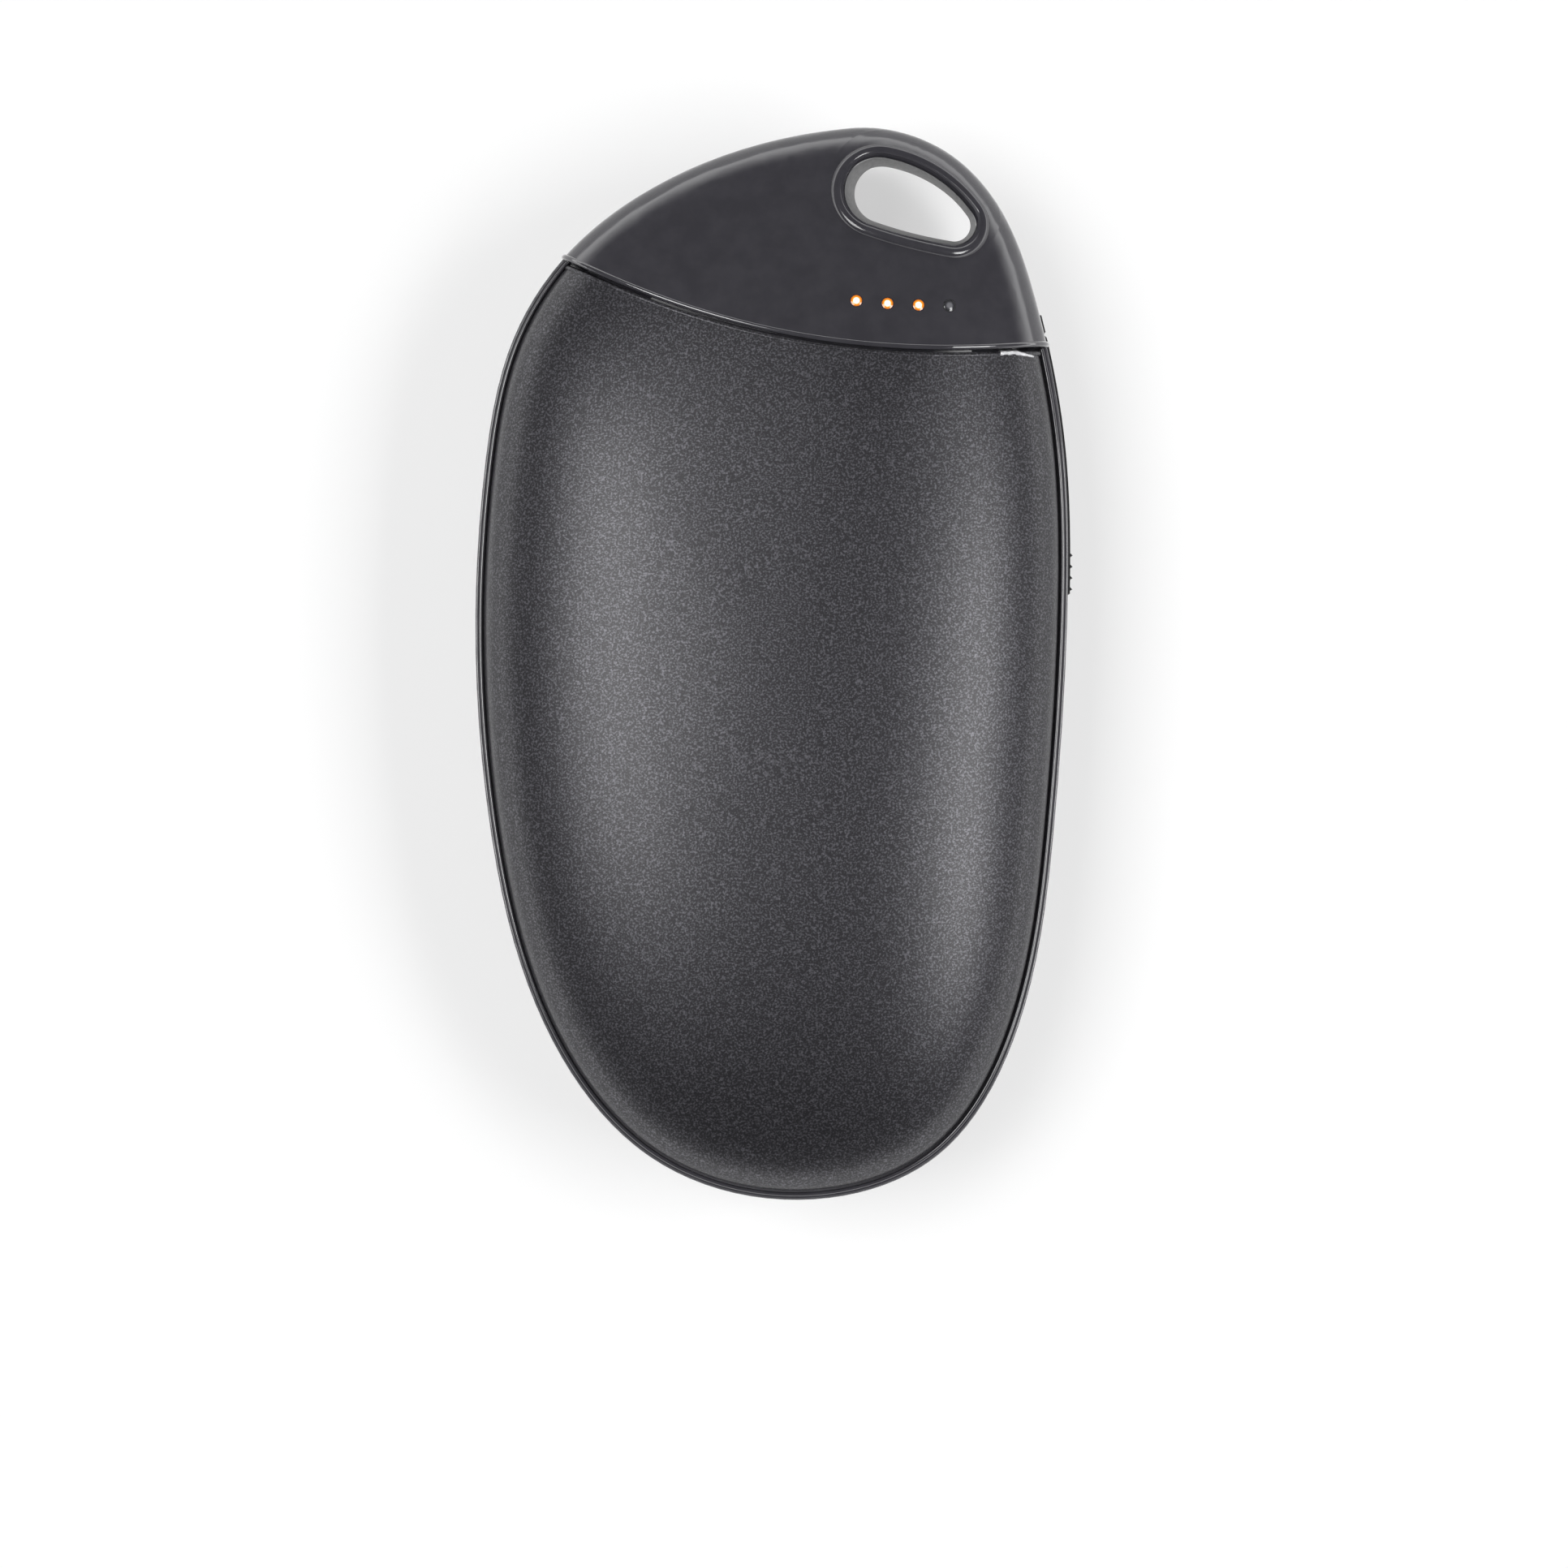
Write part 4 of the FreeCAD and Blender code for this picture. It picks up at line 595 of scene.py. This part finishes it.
@dataclass
class BandLip:
    """Two fine rolls on the band's lip round each heat shell, an inner and an outer one.

    Attributes:
        half_width: Half the width of the pebble outline in millimetres.
        half_length: Half its length.
        stations: Points of the outline from the eye end, as shares of the two halves.
        top: Height of the lip's top.
        rolls: Name, inset from the outline, depth under the lip's top and radius of each roll.
        seam_centre: Centre of the seam's arc in plan.
        seam_radius: Radius at which the lip starts, past the cap's edge.
        points: Points round the outline.
    """

    half_width: float = 30.0
    half_length: float = 54.25
    stations: tuple[Pair, ...] = (
        (0.27, 1.0), (-0.13, 0.955), (-0.4, 0.889), (-0.69, 0.765), (-0.87, 0.61),
        (-0.968, 0.37), (-1.0, 0.09), (-0.95, -0.306), (-0.765, -0.675), (-0.41, -0.92),
        (0.065, -1.0), (0.553, -0.92), (0.833, -0.675), (0.953, -0.306), (1.0, 0.13),
        (0.98, 0.43), (0.893, 0.675), (0.793, 0.828), (0.607, 0.949),
    )
    top: float = 18.3
    rolls: tuple[tuple[str, float, float, float], ...] = (
        ("inner", 0.57, 0.07, 0.22), ("outer", 0.19, 0.21, 0.17),
    )
    seam_centre: Pair = SEAM_CENTRE
    seam_radius: float = 74.9
    points: int = 900

    def outline(self, inset: float) -> np.ndarray:
        """Follow the pebble outline, a smooth closed curve through its stations.

        Args:
            inset: How far both halves shrink, in millimetres.

        Returns:
            Points in plan, in millimetres, evenly spread along the curve.
        """
        halves = np.array((self.half_width - inset, self.half_length - inset))
        knots = np.array(self.stations) * halves
        after = np.roll(knots, -1, axis=0)
        spans = np.linalg.norm(after - knots, axis=1)
        before = np.roll(spans, 1)
        count = len(knots)
        system = np.diag(2 * (spans + before))
        for place in range(count):
            system[place, (place + 1) % count] = spans[place]
            system[place, place - 1] = before[place]
        slopes = (after - knots) / spans[:, None]
        bends = np.linalg.solve(system, 6 * (slopes - np.roll(slopes, 1, axis=0)))
        ends = np.concatenate(((0.0,), np.cumsum(spans)))
        along = np.linspace(0.0, ends[-1], self.points, endpoint=False)
        span = np.searchsorted(ends, along, side="right") - 1
        step = (along - ends[span])[:, None]
        length = spans[span][:, None]
        bend, turn = bends[span], bends[(span + 1) % count]
        start = slopes[span] - length * (2 * bend + turn) / 6
        curve = step ** 2 * bend / 2 + step ** 3 * (turn - bend) / (6 * length)
        return knots[span] + step * start + curve

    def roll_round(self, name: str, inset: float, drop: float, radius: float) -> bpy.types.Object:
        """Lay one roll along the outline, from one end of the seam to the other.

        Args:
            name: Name of the piece.
            inset: Distance of its middle from the outline.
            drop: Depth of its middle under the lip's top.
            radius: Radius of its section.

        Returns:
            The roll on the front.
        """
        height = self.top - drop
        roll = closed_line(name, [Vector((x, y, height)) * MM for x, y in self.outline(inset)])
        centre = Vector(self.seam_centre) * MM
        drop_points(roll, lambda place: (place.to_2d() - centre).length < self.seam_radius * MM)
        sweep(roll, radius * MM)
        return roll

    def build(self) -> None:
        """Make and dress the rolls on both faces."""
        for label, inset, drop, radius in self.rolls:
            roll = self.roll_round(f"front_{label}_lip_roll", inset, drop, radius)
            back = copy_to_back(roll, f"rear_{label}_lip_roll")
            dress(roll, EDGE, "warmer")
            dress(back, EDGE, "warmer")


@dataclass
class ShellCrown:
    """Shallow dome on top of the front heat shell.

    Attributes:
        inset: How far the shell's outline lies inside the pebble outline, in millimetres.
        poles: Poles of the shell's cubic profile, each a share of the outline and a height.
        along: Place on the profile where the dome leaves it, from nought at the foot to one.
        lift: How far the dome's rim stands on the shell.
        depth: How far the dome reaches into the shell.
        rings: Rings of points from the rim to the middle.
        points: Points in a ring.
    """

    inset: float = 1.0
    poles: tuple[Pair, ...] = ((1.0, 18.3), (1.0, 24.39), (0.51, 27.0), (0.3, 27.0))
    along: float = 0.84
    lift: float = 0.008
    depth: float = 0.3
    rings: int = 20
    points: int = 200

    def rim(self) -> tuple[float, float, float]:
        """Find where the dome leaves the shell's profile.

        Returns:
            Share of the outline, height, and slope of the height over the share.
        """
        shares, heights = np.array(self.poles).T
        back = 1 - self.along
        weights = (back ** 3, 3 * back ** 2 * self.along, 3 * back * self.along ** 2, self.along ** 3)
        pulls = (back ** 2, 2 * back * self.along, self.along ** 2)
        slope = np.dot(pulls, np.diff(heights)) / np.dot(pulls, np.diff(shares))
        return np.dot(weights, shares), np.dot(weights, heights), slope

    def build(self) -> None:
        """Model the dome from shrinking rings of the outline and dress it."""
        edge, foot, slope = self.rim()
        plan = BandLip(points=self.points).outline(self.inset)
        crown = ringed_disc("front_shell_crown", self.points, 1.0, self.rings)
        bpy.ops.object.mode_set(mode="EDIT")
        bpy.ops.mesh.poke()
        bpy.ops.object.mode_set(mode="OBJECT")
        for vertex in crown.data.vertices:
            turn = math.atan2(vertex.co.y, vertex.co.x) / (2 * math.pi)
            share = edge * vertex.co.to_2d().length
            x, y = plan[round(turn * self.points) % self.points] * share
            height = foot + slope * (share ** 2 - edge ** 2) / (2 * edge) + self.lift
            vertex.co = Vector((x, y, height)) * MM
        thicken(crown, self.depth * MM, -1.0)
        bpy.ops.object.shade_smooth_by_angle(angle=SMOOTH_ANGLE)
        dress(crown, SHELL, "warmer")


@dataclass
class SeamTrim:
    """Rounded edges along the seam between cap and heat shell, front and back.

    Attributes:
        centre: Centre of the seam's arc in plan, in millimetres.
        radius: Radius of the cap's edge.
        gap: Width of the open seam.
        roll: Radius of a rounded edge.
        sink: How far a roll's middle lies behind both faces of its edge.
        worn: X of the two ends of the worn stretch of the front shell's edge.
        worn_sink: How far the worn stretch's middle lies under the shell.
        worn_drift: Share of the stretch after which it strays off the edge, and how far it would stray
            over a whole stretch.
        points: Points round the full circle.
    """

    centre: Pair = SEAM_CENTRE
    radius: float = 75.0
    gap: float = 0.35
    roll: float = 0.3
    sink: float = 0.23
    worn: Pair = (22.75, 26.4)
    worn_sink: float = 0.1
    worn_drift: Pair = (0.45, 0.9)
    points: int = 4800

    def roll_edge(self, name: str, radius: float, node: str, worn: bool = False) -> bpy.types.Object:
        """Lay one rounded edge along an arc on the front.

        Args:
            name: Name of the piece.
            radius: Radius of the arc in millimetres.
            node: CAD node whose edge it rounds.
            worn: Whether it is only the worn stretch, which strays off the edge at its outer end.

        Returns:
            The rounded edge.
        """
        x, y = self.centre
        above = CAD_BOX[1].z + WAIT
        bpy.ops.mesh.primitive_circle_add(vertices=self.points, radius=radius * MM,
                                          location=(x * MM, y * MM, above))
        edge = take(name)
        bpy.ops.object.transform_apply(location=True)
        if worn:
            start, end = (place * MM for place in self.worn)
            leave, stray = self.worn_drift
            drop_points(edge, lambda place: not (start < place.x < end and place.y < y * MM))
            for vertex in edge.data.vertices:
                share = (vertex.co.x - start) / (end - start)
                vertex.co.y -= max(0.0, share - leave) * stray * MM
        lay_on(edge, node)
        # What missed the node still waits above it.
        drop_points(edge, lambda place: place.z > above - MM)
        move_points(edge, (0, 0, -(self.worn_sink if worn else self.sink) * MM))
        sweep(edge, self.roll * MM, worn)
        return edge

    def build(self) -> None:
        """Make and dress the four rounded edges and the worn stretch."""
        cap = self.roll_edge("front_cap_edge", self.radius - self.sink, "front_housing")
        shell = self.roll_edge("front_shell_edge", self.radius + self.gap + self.sink, "front_heat_shell")
        for edge, finish, slot in ((cap, EDGE, "housing_plastic"), (shell, SHELL, "painted_aluminium")):
            back = copy_to_back(edge, edge.name.replace("front", "rear"))
            dress(edge, finish, "warmer")
            dress(back, finish, "warmer")
        outer = self.radius + self.gap + self.sink / 2
        worn = self.roll_edge("front_shell_worn_edge", outer, "front_heat_shell", True)
        dress(worn, BARE, "warmer")


@dataclass
class CordEye:
    """Broad round bead about each mouth of the cord eye, and a satin skin on the wall between them, a little
    darker than the cap as painted shade.

    Attributes:
        big: Centre of the eye's wide end in plan at mid depth, in millimetres.
        tip_offset: From the wide end's centre to the narrow end's.
        radii: Radius of the wide end, of the lower side, of the narrow end and of the upper side.
        beads: Face, shift of the bead's line in plan and its distance outside the eye.
        bead: Radius of the bead's section.
        sink: How far the bead's middle lies under the CAD bead's crest.
        flares: Lean in plan and widening of the eye's wall at its full height, front and rear.
        flare_height: Height over mid depth at which the wall has them.
        skin: Distance of the skin's two faces outside the eye; the first one stands in the eye.
        points: Points on each of the line's four arcs.
    """

    big: Pair = (11.4, 48.25)
    tip_offset: Pair = (7.3, -3.2)
    radii: tuple[float, float, float, float] = (3.05, 45.0, 1.75, 13.0)
    beads: tuple[tuple[str, Pair, float], ...] = (("front", (-0.52, -1.05), 1.27), ("rear", (0.0, 0.0), 1.85))
    bead: float = 0.7
    sink: float = 0.59
    flares: tuple[tuple[Pair, float], ...] = (((-0.55, -1.1), 0.9), ((0.0, 0.0), 1.6))
    flare_height: float = 12.0
    skin: Pair = (-0.12, 0.2)
    points: int = 64

    def line(self, shift: Pair, grow: float) -> np.ndarray:
        """Follow the eye: two end circles, joined by a long arc on each side.

        Args:
            shift: How far the line lies from the eye in plan, in millimetres.
            grow: How far it lies outside the eye.

        Returns:
            Points in plan, in millimetres, X as the real and Y as the imaginary part.
        """
        wide, lower, narrow, upper = self.radii
        axis = complex(*self.tip_offset)
        big = complex(*self.big) + complex(*shift)
        tip = big + axis
        poles = []
        for radius, hand in ((lower, 1), (upper, -1)):
            to_big, to_tip = radius - wide, radius - narrow
            along = (to_big ** 2 - to_tip ** 2 + abs(axis) ** 2) / (2 * abs(axis))
            aside = hand * math.sqrt(to_big ** 2 - along ** 2)
            poles.append(big + complex(along, aside) * axis / abs(axis))
        low, high = poles
        arcs = (
            (big, wide, big - high, big - low), (low, lower, big - low, tip - low),
            (tip, narrow, tip - low, tip - high), (high, upper, tip - high, big - high),
        )
        points = []
        for centre, radius, begin, finish in arcs:
            turns = np.linspace(0.0, np.angle(finish / begin) % (2 * np.pi), self.points, endpoint=False)
            points.append(centre + (radius + grow) * begin / abs(begin) * np.exp(1j * turns))
        return np.concatenate(points)

    def line_wall(self, crests: list) -> None:
        """Lay a satin skin on the eye's wall, from bead to bead; its darker ground is painted shade.

        Args:
            crests: Height of the front bead and of the rear bead at each point of the line, in metres.
        """
        count = 4 * self.points
        middle = np.zeros(count)
        front, rear = (
            (np.abs(np.array(crest) - MIDDLE) / MM - self.sink) / self.flare_height for crest in crests
        )
        inner, outer = self.skin
        # Face, nought in front and one behind, heights and depth of each row of points.
        rows = [
            (0, front, inner), (0, middle, inner), (1, rear, inner),
            (1, rear, outer), (0, middle, outer), (0, front, outer),
        ]
        # The torus only gives the rows of faces: each of its points gets its own place.
        bpy.ops.mesh.primitive_torus_add(major_segments=count, minor_segments=len(rows),
                                         major_radius=MM, minor_radius=MM / 10)
        skin = take("cord_eye_shaded_skin")
        for row, (face, shares, depth) in enumerate(rows):
            shift, grow = self.flares[face]
            for place, share in enumerate(shares):
                spot = self.line((shift[0] * share, shift[1] * share), grow * share + depth)[place]
                height = MIDDLE + (1 - 2 * face) * share * self.flare_height * MM
                skin.data.vertices[place * len(rows) + row].co = (spot.real * MM, spot.imag * MM, height)
        select_points(skin, lambda place: True)
        bpy.ops.mesh.normals_make_consistent(inside=False)
        bpy.ops.object.mode_set(mode="OBJECT")
        bpy.ops.object.shade_smooth_by_angle(angle=SMOOTH_ANGLE)
        # The skin's ground is darker than the cap's: painted shade on the eye's wall.
        dress(skin, SHADED_SATIN, "warmer")

    def build(self) -> None:
        """Make and dress the two beads and the skin of the wall between them."""
        crests = []
        for face, shift, grow in self.beads:
            upward = face == "rear"
            start = CAD_BOX[0].z - WAIT if upward else CAD_BOX[1].z + WAIT
            plan = self.line(shift, grow) * MM
            bead = closed_line(f"{face}_eye_bead", [(place.real, place.imag, start) for place in plan])
            lay_on(bead, f"{face}_housing", upward)
            crests.append([vertex.co.z for vertex in bead.data.vertices])
            move_points(bead, (0, 0, (self.sink if upward else -self.sink) * MM))
            sweep(bead, self.bead * MM)
            dress(bead, CAP, "warmer")
        self.line_wall(crests)


@dataclass
class IndicatorRow:
    """Domed lens on the end of each light guide: three lit, one dark.

    Attributes:
        centre: Centre of the row's arc in plan, in millimetres.
        radius: Radius of the row's arc.
        middle: X of the row's middle.
        pitch: Distance between neighbours along X.
        lens: Radius of a lens.
        rise: Height of the dome.
        depth: How far a lens reaches into its guide.
        rings: Rings of points in a lens.
        points: Points in a ring.
        lights: Number of lights.
        lit: How many of them are lit, from the left.
    """

    centre: Pair = SEAM_CENTRE
    radius: float = 70.6
    middle: float = 13.1
    pitch: float = 3.1
    lens: float = 0.57
    rise: float = 0.1
    depth: float = 0.2
    rings: int = 6
    points: int = 32
    lights: int = 4
    lit: int = 3

    def lens_at(self, count: int) -> bpy.types.Object:
        """Model one lens on its guide.

        Args:
            count: Place in the row, from nought.

        Returns:
            The lens, with each point's distance from its axis as an attribute.
        """
        x = self.middle + (count - (self.lights - 1) / 2) * self.pitch
        y = self.centre[1] - math.sqrt(self.radius ** 2 - (x - self.centre[0]) ** 2)
        axis = Vector((x, y, 0)) * MM
        start = (axis.x, axis.y, CAD_BOX[1].z + WAIT)
        lens = ringed_disc(f"indicator_lens_{count + 1}", self.points, self.lens * MM, self.rings, start)
        lay_on(lens, "lit_light_guides" if count < self.lit else "unlit_light_guide")
        step = self.lens / self.rings
        for ring in range(1, self.rings):
            inner = (self.lens - ring * step + step / 2) * MM
            rise = self.rise * (2 * (self.rings - ring) - 1) / (self.rings - 1) ** 2
            move_points(lens, (0, 0, rise * MM), lambda place: (place - axis).to_2d().length < inner)
        thicken(lens, self.depth * MM, -1.0)
        bpy.ops.object.shade_smooth_by_angle(angle=SMOOTH_ANGLE)
        spread = lens.data.attributes.new("from_axis", "FLOAT", "POINT")
        for vertex in lens.data.vertices:
            spread.data[vertex.index].value = (vertex.co - axis).to_2d().length / (self.lens * MM)
        return lens

    def build(self) -> None:
        """Make and dress the lenses."""
        for count in range(self.lights):
            lens = self.lens_at(count)
            lit = count < self.lit
            dress(lens, GLOW if lit else DARK_LENS, "warmer")


@dataclass
class CoverWeb:
    """Thin rubber web in which the port cover bends.

    Attributes:
        hinge: Middle of the bending line in millimetres.
        heading: Direction along the flank toward the fixed end, in plan.
        reach: How far the web runs into the cover and into the fixed end.
        height: Height of the web.
        thickness: Thickness of the web.
        grid: Points along the web and up it.
        rounding: Width of its rounded edges.
    """

    hinge: tuple[float, float, float] = (27.54, 33.0, 13.5)
    heading: Pair = (-0.215, 0.977)
    reach: Pair = (0.9, 1.3)
    height: float = 5.6
    thickness: float = 0.5
    grid: tuple[int, int] = (14, 8)
    rounding: float = 0.08

    def build(self) -> None:
        """Make the web and give it the rubber finish."""
        hinge = Vector(self.hinge) * MM
        heading = Vector((*self.heading, 0)).normalized()
        length = sum(self.reach) * MM
        middle = hinge + heading * (self.reach[1] - self.reach[0]) / 2 * MM
        columns, rows = self.grid
        bpy.ops.mesh.primitive_grid_add(x_subdivisions=columns, y_subdivisions=rows, size=1, location=middle)
        web = take("port_cover_web")
        web.scale = (length, self.height * MM, 1)
        web.rotation_euler = (math.pi / 2, 0, math.atan2(heading.y, heading.x))
        bpy.ops.object.transform_apply(location=True, rotation=True, scale=True)
        thicken(web, self.thickness * MM, 0.0)
        rounding = web.modifiers.new("rounding", "BEVEL")
        rounding.width = self.rounding * MM
        rounding.segments = 2
        bpy.ops.object.modifier_apply(modifier=rounding.name)
        bpy.ops.object.shade_smooth_by_angle(angle=SMOOTH_ANGLE)
        web.data.materials.append(material_of(RUBBER))
        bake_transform(web)
        log.info("%s: %s", web.name, RUBBER.name)


@dataclass
class SocketContacts:
    """Gold-flashed fingers under the tongue of one socket.

    Attributes:
        name: Name of the piece.
        root: X where the fingers leave the tongue's root, in millimetres.
        length: Length of a finger.
        places: Y of each finger.
        width: Width of a finger.
        under: Height of the tongue's lower face.
        thickness: Thickness of a finger.
    """

    name: str
    root: float
    length: float
    places: tuple[float, ...]
    width: float
    under: float
    thickness: float = 0.12

    def build(self) -> None:
        """Model one finger, copy it and dress the row."""
        middle = (self.root + self.length / 2, self.places[0], self.under - self.thickness / 2)
        bpy.ops.mesh.primitive_cube_add(size=1, location=Vector(middle) * MM)
        finger = take(self.name)
        finger.scale = Vector((self.length, self.width, self.thickness)) * MM
        bpy.ops.object.transform_apply(location=True, rotation=True, scale=True)
        bpy.ops.object.mode_set(mode="EDIT")
        bpy.ops.mesh.select_all(action="SELECT")
        bpy.ops.mesh.bevel(offset=self.thickness / 3 * MM, segments=2)
        bpy.ops.object.mode_set(mode="OBJECT")
        row = [finger]
        for place in self.places[1:]:
            choose(finger)
            bpy.ops.object.duplicate()
            copy = bpy.context.object
            move_points(copy, (0, (place - self.places[0]) * MM, 0))
            row.append(copy)
        choose(finger)
        for copy in row[1:]:
            copy.select_set(True)
        bpy.ops.object.join()
        bpy.ops.object.shade_smooth_by_angle(angle=SMOOTH_ANGLE)
        dress(finger, GOLD, "warmer")


@dataclass
class SoftBox:
    """Large soft lamp that looks down at the part.

    Attributes:
        name: Name of the lamp.
        lean: Angle from upright in degrees, positive toward the right.
        slide: Shift toward the eye end in metres.
        size: Width and length in metres.
        power: Power in watts.
        reach: Distance from the part in metres.
    """

    name: str
    lean: float
    slide: float
    size: Pair
    power: float
    reach: float = 0.9

    def build(self) -> None:
        """Hang the lamp."""
        lean = math.radians(self.lean)
        spot = Vector((math.sin(lean), 0.0, math.cos(lean))) * self.reach + Vector((0.0, self.slide, 0.0))
        bpy.ops.object.light_add(type="AREA", location=spot)
        lamp = take(self.name)
        lamp.rotation_euler = (0.0, lean, 0.0)
        lamp.data.shape = "RECTANGLE"
        lamp.data.size, lamp.data.size_y = self.size
        lamp.data.energy = self.power


@dataclass
class Studio:
    """Pale floor, two soft boxes, pale walls and the camera of the photograph.

    Attributes:
        floor_size: Side of the floor in metres.
        boxes: The soft boxes on the left and on the right.
        paper_glow: Share of plain white in the floor where the camera sees it.
        walls: Brightness of the walls near the floor and of the room overhead.
        wall_heights: Heights on a unit sphere between which the walls fade into the room.
        view_height: Camera height over the part's middle plane in metres.
        view_place: Point under the camera in metres.
        frame_width: Width of the picture at the part's middle plane in metres.
    """

    floor_size: float = 6.0
    boxes: tuple[SoftBox, SoftBox] = (
        SoftBox("soft_box_left", lean=-23.0, slide=0.06, size=(0.4, 0.42), power=4.3),
        SoftBox("soft_box_right", lean=37.0, slide=-0.08, size=(0.26, 0.44), power=3.9),
    )
    paper_glow: float = 0.5
    walls: Pair = (3.0, 0.12)
    wall_heights: Pair = (0.05, 0.4)
    view_height: float = 0.42
    view_place: Pair = (0.00125, -0.01213)
    frame_width: float = 0.16055

    def build(self) -> None:
        """Make the floor, the lights, the world and the camera."""
        self.lay_floor()
        for box in self.boxes:
            box.build()
        self.light_world()
        self.set_camera()

    def lay_floor(self) -> None:
        """Lay a pale floor that keeps the part's shadow."""
        bpy.ops.mesh.primitive_plane_add(size=self.floor_size, location=(0, 0, 0))
        floor = take("floor")
        material = bpy.data.materials.new("matt_white_paper")
        tree = empty_tree(material)
        matt = add_node(tree, "ShaderNodeBsdfDiffuse", {"Color": linear("#FCFCFC")})
        white = add_node(tree, "ShaderNodeEmission", {"Color": linear("#FFFFFF"), "Strength": 1.0})
        path = add_node(tree, "ShaderNodeLightPath", {})
        mirror = add_node(tree, "ShaderNodeMath", {
            0: path.outputs["Is Glossy Ray"], 1: path.outputs["Is Transmission Ray"],
        }, operation="MAXIMUM")
        seen = add_node(tree, "ShaderNodeMath", {
            0: path.outputs["Is Camera Ray"], 1: self.paper_glow,
        }, operation="MULTIPLY")
        share = add_node(tree, "ShaderNodeMath", {
            0: seen.outputs["Value"], 1: mirror.outputs["Value"],
        }, operation="MAXIMUM")
        paper = add_node(tree, "ShaderNodeMixShader", {
            "Fac": share.outputs["Value"], 1: matt.outputs["BSDF"], 2: white.outputs["Emission"],
        })
        add_node(tree, "ShaderNodeOutputMaterial", {"Surface": paper.outputs["Shader"]})
        floor.data.materials.append(material)

    def light_world(self) -> None:
        """Make a dim room with pale walls near the floor, white where the camera sees it."""
        world = bpy.data.worlds.new("studio")
        bpy.context.scene.world = world
        tree = empty_tree(world)
        path = add_node(tree, "ShaderNodeLightPath", {})
        toward = add_node(tree, "ShaderNodeTexCoord", {}).outputs["Generated"]
        height = add_node(tree, "ShaderNodeSeparateXYZ", {"Vector": toward}).outputs["Z"]
        walls = add_node(tree, "ShaderNodeMapRange", {
            "Value": height, "From Min": self.wall_heights[0], "From Max": self.wall_heights[1],
            "To Min": self.walls[0], "To Max": self.walls[1],
        }, interpolation_type="SMOOTHSTEP")
        level = add_node(tree, "ShaderNodeMath", {
            0: path.outputs["Is Camera Ray"], 1: walls.outputs["Result"],
        }, operation="MAXIMUM")
        sky = add_node(tree, "ShaderNodeBackground", {
            "Color": linear("#FFFFFF"), "Strength": level.outputs["Value"],
        })
        add_node(tree, "ShaderNodeOutputWorld", {"Surface": sky.outputs["Background"]})

    def set_camera(self) -> None:
        """Hang the camera straight above the part, its top edge toward the eye end."""
        bpy.ops.object.camera_add(location=(*self.view_place, MIDDLE + self.view_height))
        camera = bpy.context.object
        camera.rotation_euler = (0.0, 0.0, 0.0)
        camera.data.sensor_width = 36.0
        camera.data.lens = camera.data.sensor_width * self.view_height / self.frame_width
        camera.data.clip_start = 0.01
        bpy.context.scene.camera = camera


def main() -> None:
    """Dress the part and set the studio."""
    logging.basicConfig(level=logging.INFO, format="%(message)s")
    bpy.context.scene.view_settings.view_transform = "Standard"
    for node, finish in NODE_FINISHES.items():
        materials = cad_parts[node].data.materials
        materials.clear()
        materials.append(material_of(finish))
        log.info("%s: %s", node, finish.name)
    BandLip().build()
    ShellCrown().build()
    SeamTrim().build()
    CordEye().build()
    IndicatorRow().build()
    CoverWeb().build()
    SocketContacts("usb_a_contacts", root=17.6, length=6.7, places=(20.5, 23.0, 25.0, 27.5),
                   width=1.0, under=13.75).build()
    SocketContacts("micro_usb_contacts", root=22.9, length=2.6, places=(10.7, 11.35, 12.0, 12.65, 13.3),
                   width=0.35, under=11.7, thickness=0.08).build()
    Studio().build()


if __name__ == "__main__":
    main()
